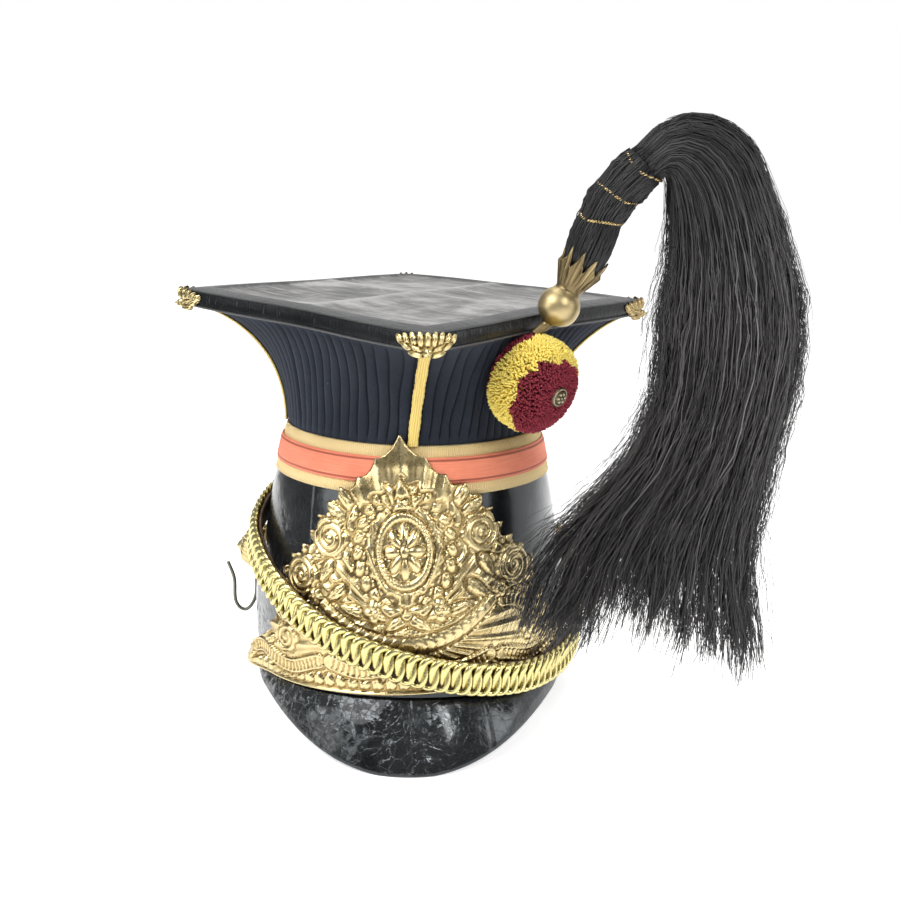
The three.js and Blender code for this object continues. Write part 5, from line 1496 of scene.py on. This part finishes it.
girth_turn = np.linspace(0, 2 * np.pi, 361)
girth_share = np.cumsum(np.hypot(2 * np.sin(girth_turn), np.cos(girth_turn)))
girth_share = (girth_share - girth_share[0]) / (girth_share[-1] - girth_share[0])
lock_across = chance.uniform(0.03, 0.97, LOCKS)
tuft_across = np.linspace(0.02, 0.98, END_TUFTS) + chance.normal(0, TUFT_UNEVEN, END_TUFTS)
tuft_end = chance.normal(0, TUFT_UNEVEN, END_TUFTS)
lock_sway = chance.normal(0, 0.03, (LOCKS, 3))
lock_phase = chance.uniform(0, 2 * np.pi, (LOCKS, 3))
lock_end = chance.normal(0, END_UNEVEN, LOCKS)
lock_crimp = chance.normal(0, 1.0, (LOCKS, CRIMPS + 1, 3))
for name, (count, steps, inner, outer) in FALL_LAYERS.items():
    loose = name == "loose"
    each = (count, 1)
    shell = chance.uniform(inner, outer, count)
    about = np.interp(chance.uniform(0, 1, count), girth_share, girth_turn)
    swept = (chance.uniform(0, 1, count) < SWEPT) & (not loose)
    about = np.where(swept, np.pi + chance.uniform(-SWEPT_SPREAD, SWEPT_SPREAD, count), about)
    across = 0.5 + 0.5 * shell * np.cos(about)
    if loose:
        edge = chance.uniform(0, 1, count) < AT_EDGES
        across = np.where(edge, chance.choice([0.0, 1.0], count, p=[AT_NEAR_EDGE, 1 - AT_NEAR_EDGE]), across)
        about = np.where(edge, chance.normal(0, 0.3, count), about)
    deep = shell * np.sin(about)

    lock = nearest(across, lock_across, 0.05)
    end = 1.0 + chance.normal(0, END_UNEVEN, count) + lock_end[lock]
    end = end - SHORTER_BY * sum(hump(across - middle, half) for middle, half in SHORTER)
    tuft = nearest(across, tuft_across, 0.025)
    to_tuft = tuft_across[tuft] - across
    end = end + tuft_end[tuft] - TUFT_POINTED * np.abs(to_tuft)
    start = chance.uniform(0, 0.012, count)
    if loose:
        start = chance.uniform(0.04, 0.7, count)
        end = np.minimum(start + chance.uniform(0.12, 0.5, count), 1.03)
    along = np.linspace(0, 1, steps)[None, :]
    share = start[:, None] + (end - start)[:, None] * along ** (1.0 if loose else 1.3)

    hang = smoothstep(share, 0.06, 0.8)
    drift = sum(lock_sway[lock, k][:, None] * np.sin((3 + 4 * k) * share + lock_phase[lock, k][:, None])
                for k in range(3))
    wild = 1 + (0.5 if loose else 3) * (chance.uniform(0, 1, each) < WILD)
    own = wild * chance.normal(0, 0.06 if loose else 0.018, each)
    own = own * np.sin(share * chance.uniform(4, 14, each) + chance.uniform(0, 6, each))
    gather = (lock_across[lock] - across)[:, None] * LOCK_GATHER * hang ** 2
    gather = gather + to_tuft[:, None] * TUFT_GATHER * smoothstep(share, TUFT_FROM, 1.0)
    frayed = chance.uniform(0, 1, each) ** 2 * (across < 0.3)[:, None] * smoothstep(share, 0.62, 1.0)
    stray = np.where(across < 0.5, -STRAY["near"], STRAY["far"])[:, None]
    stray = stray * chance.exponential(1.0, each) * along
    side = across[:, None] + (drift + own) * hang + (stray if loose else gather) - FRAYED * frayed
    paths = fall_point(share, np.clip(side, *SIDE_LIMITS),
                       deep[:, None] * (1 + 0.1 * hang) + (drift * 2 + own * 3) * hang)
    knot = np.clip(share * 0.9, 0, 0.999) * CRIMPS
    before, part = knot.astype(int), (knot % 1)[..., None]
    crimp = lock_crimp[lock[:, None], before] * (1 - part) + lock_crimp[lock[:, None], before + 1] * part
    ruffled = CRIMP * crimp + chance.normal(0, RUFFLE, paths.shape)
    paths = paths + ruffled * smoothstep(share, 0.03, 0.4)[..., None]

    thin = (1 - 0.5 * along) * chance.uniform(*STRAND_RADIUS, each) * (0.5 if loose else 1)
    points, walls, ends = rods(paths, thin, HAIR_SIDES)
    # Painted shade: the hair is laid darker at the head of the fall and somewhat darker towards its ends.
    hair_painted_shade = 0.45 + 0.55 * smoothstep(share, 0.08, 0.38) - 0.25 * smoothstep(share, 0.6, 0.9)
    tone = np.repeat((chance.uniform(0, 1, each) ** 1.1 * hair_painted_shade).ravel(), HAIR_SIDES)
    nets = [walls, ends]
    if name == "under":
        body_share = np.linspace(0.0, BODY_END, BODY_LENGTHS)
        swell, near_swell = (BODY_FILL * (1 - smoothstep(body_share, *span)) for span in BODY_TAPER)
        x, y = np.cos(turns(BODY_TURNS)), np.sin(turns(BODY_TURNS))
        core_points, core_faces = capped(np.stack([
            fall_point(np.full(BODY_TURNS, run), 0.5 + 0.5 * np.where(x < 0, near, far) * x, far * y)
            for run, far, near in zip(body_share, swell, near_swell)]))
        nets.append(core_faces + len(points))
        points = np.concatenate([points, core_points])
        # Painted shade: the body takes the darkest tone, for the shade deep inside the hair.
        tone = np.append(tone, np.zeros(len(core_points)))
    piece = made(f"plume_fall_{name}_hair", points, *nets, marks={"tone": tone})
    fitted(piece, black_hair, "horsehair", "plume_fall")
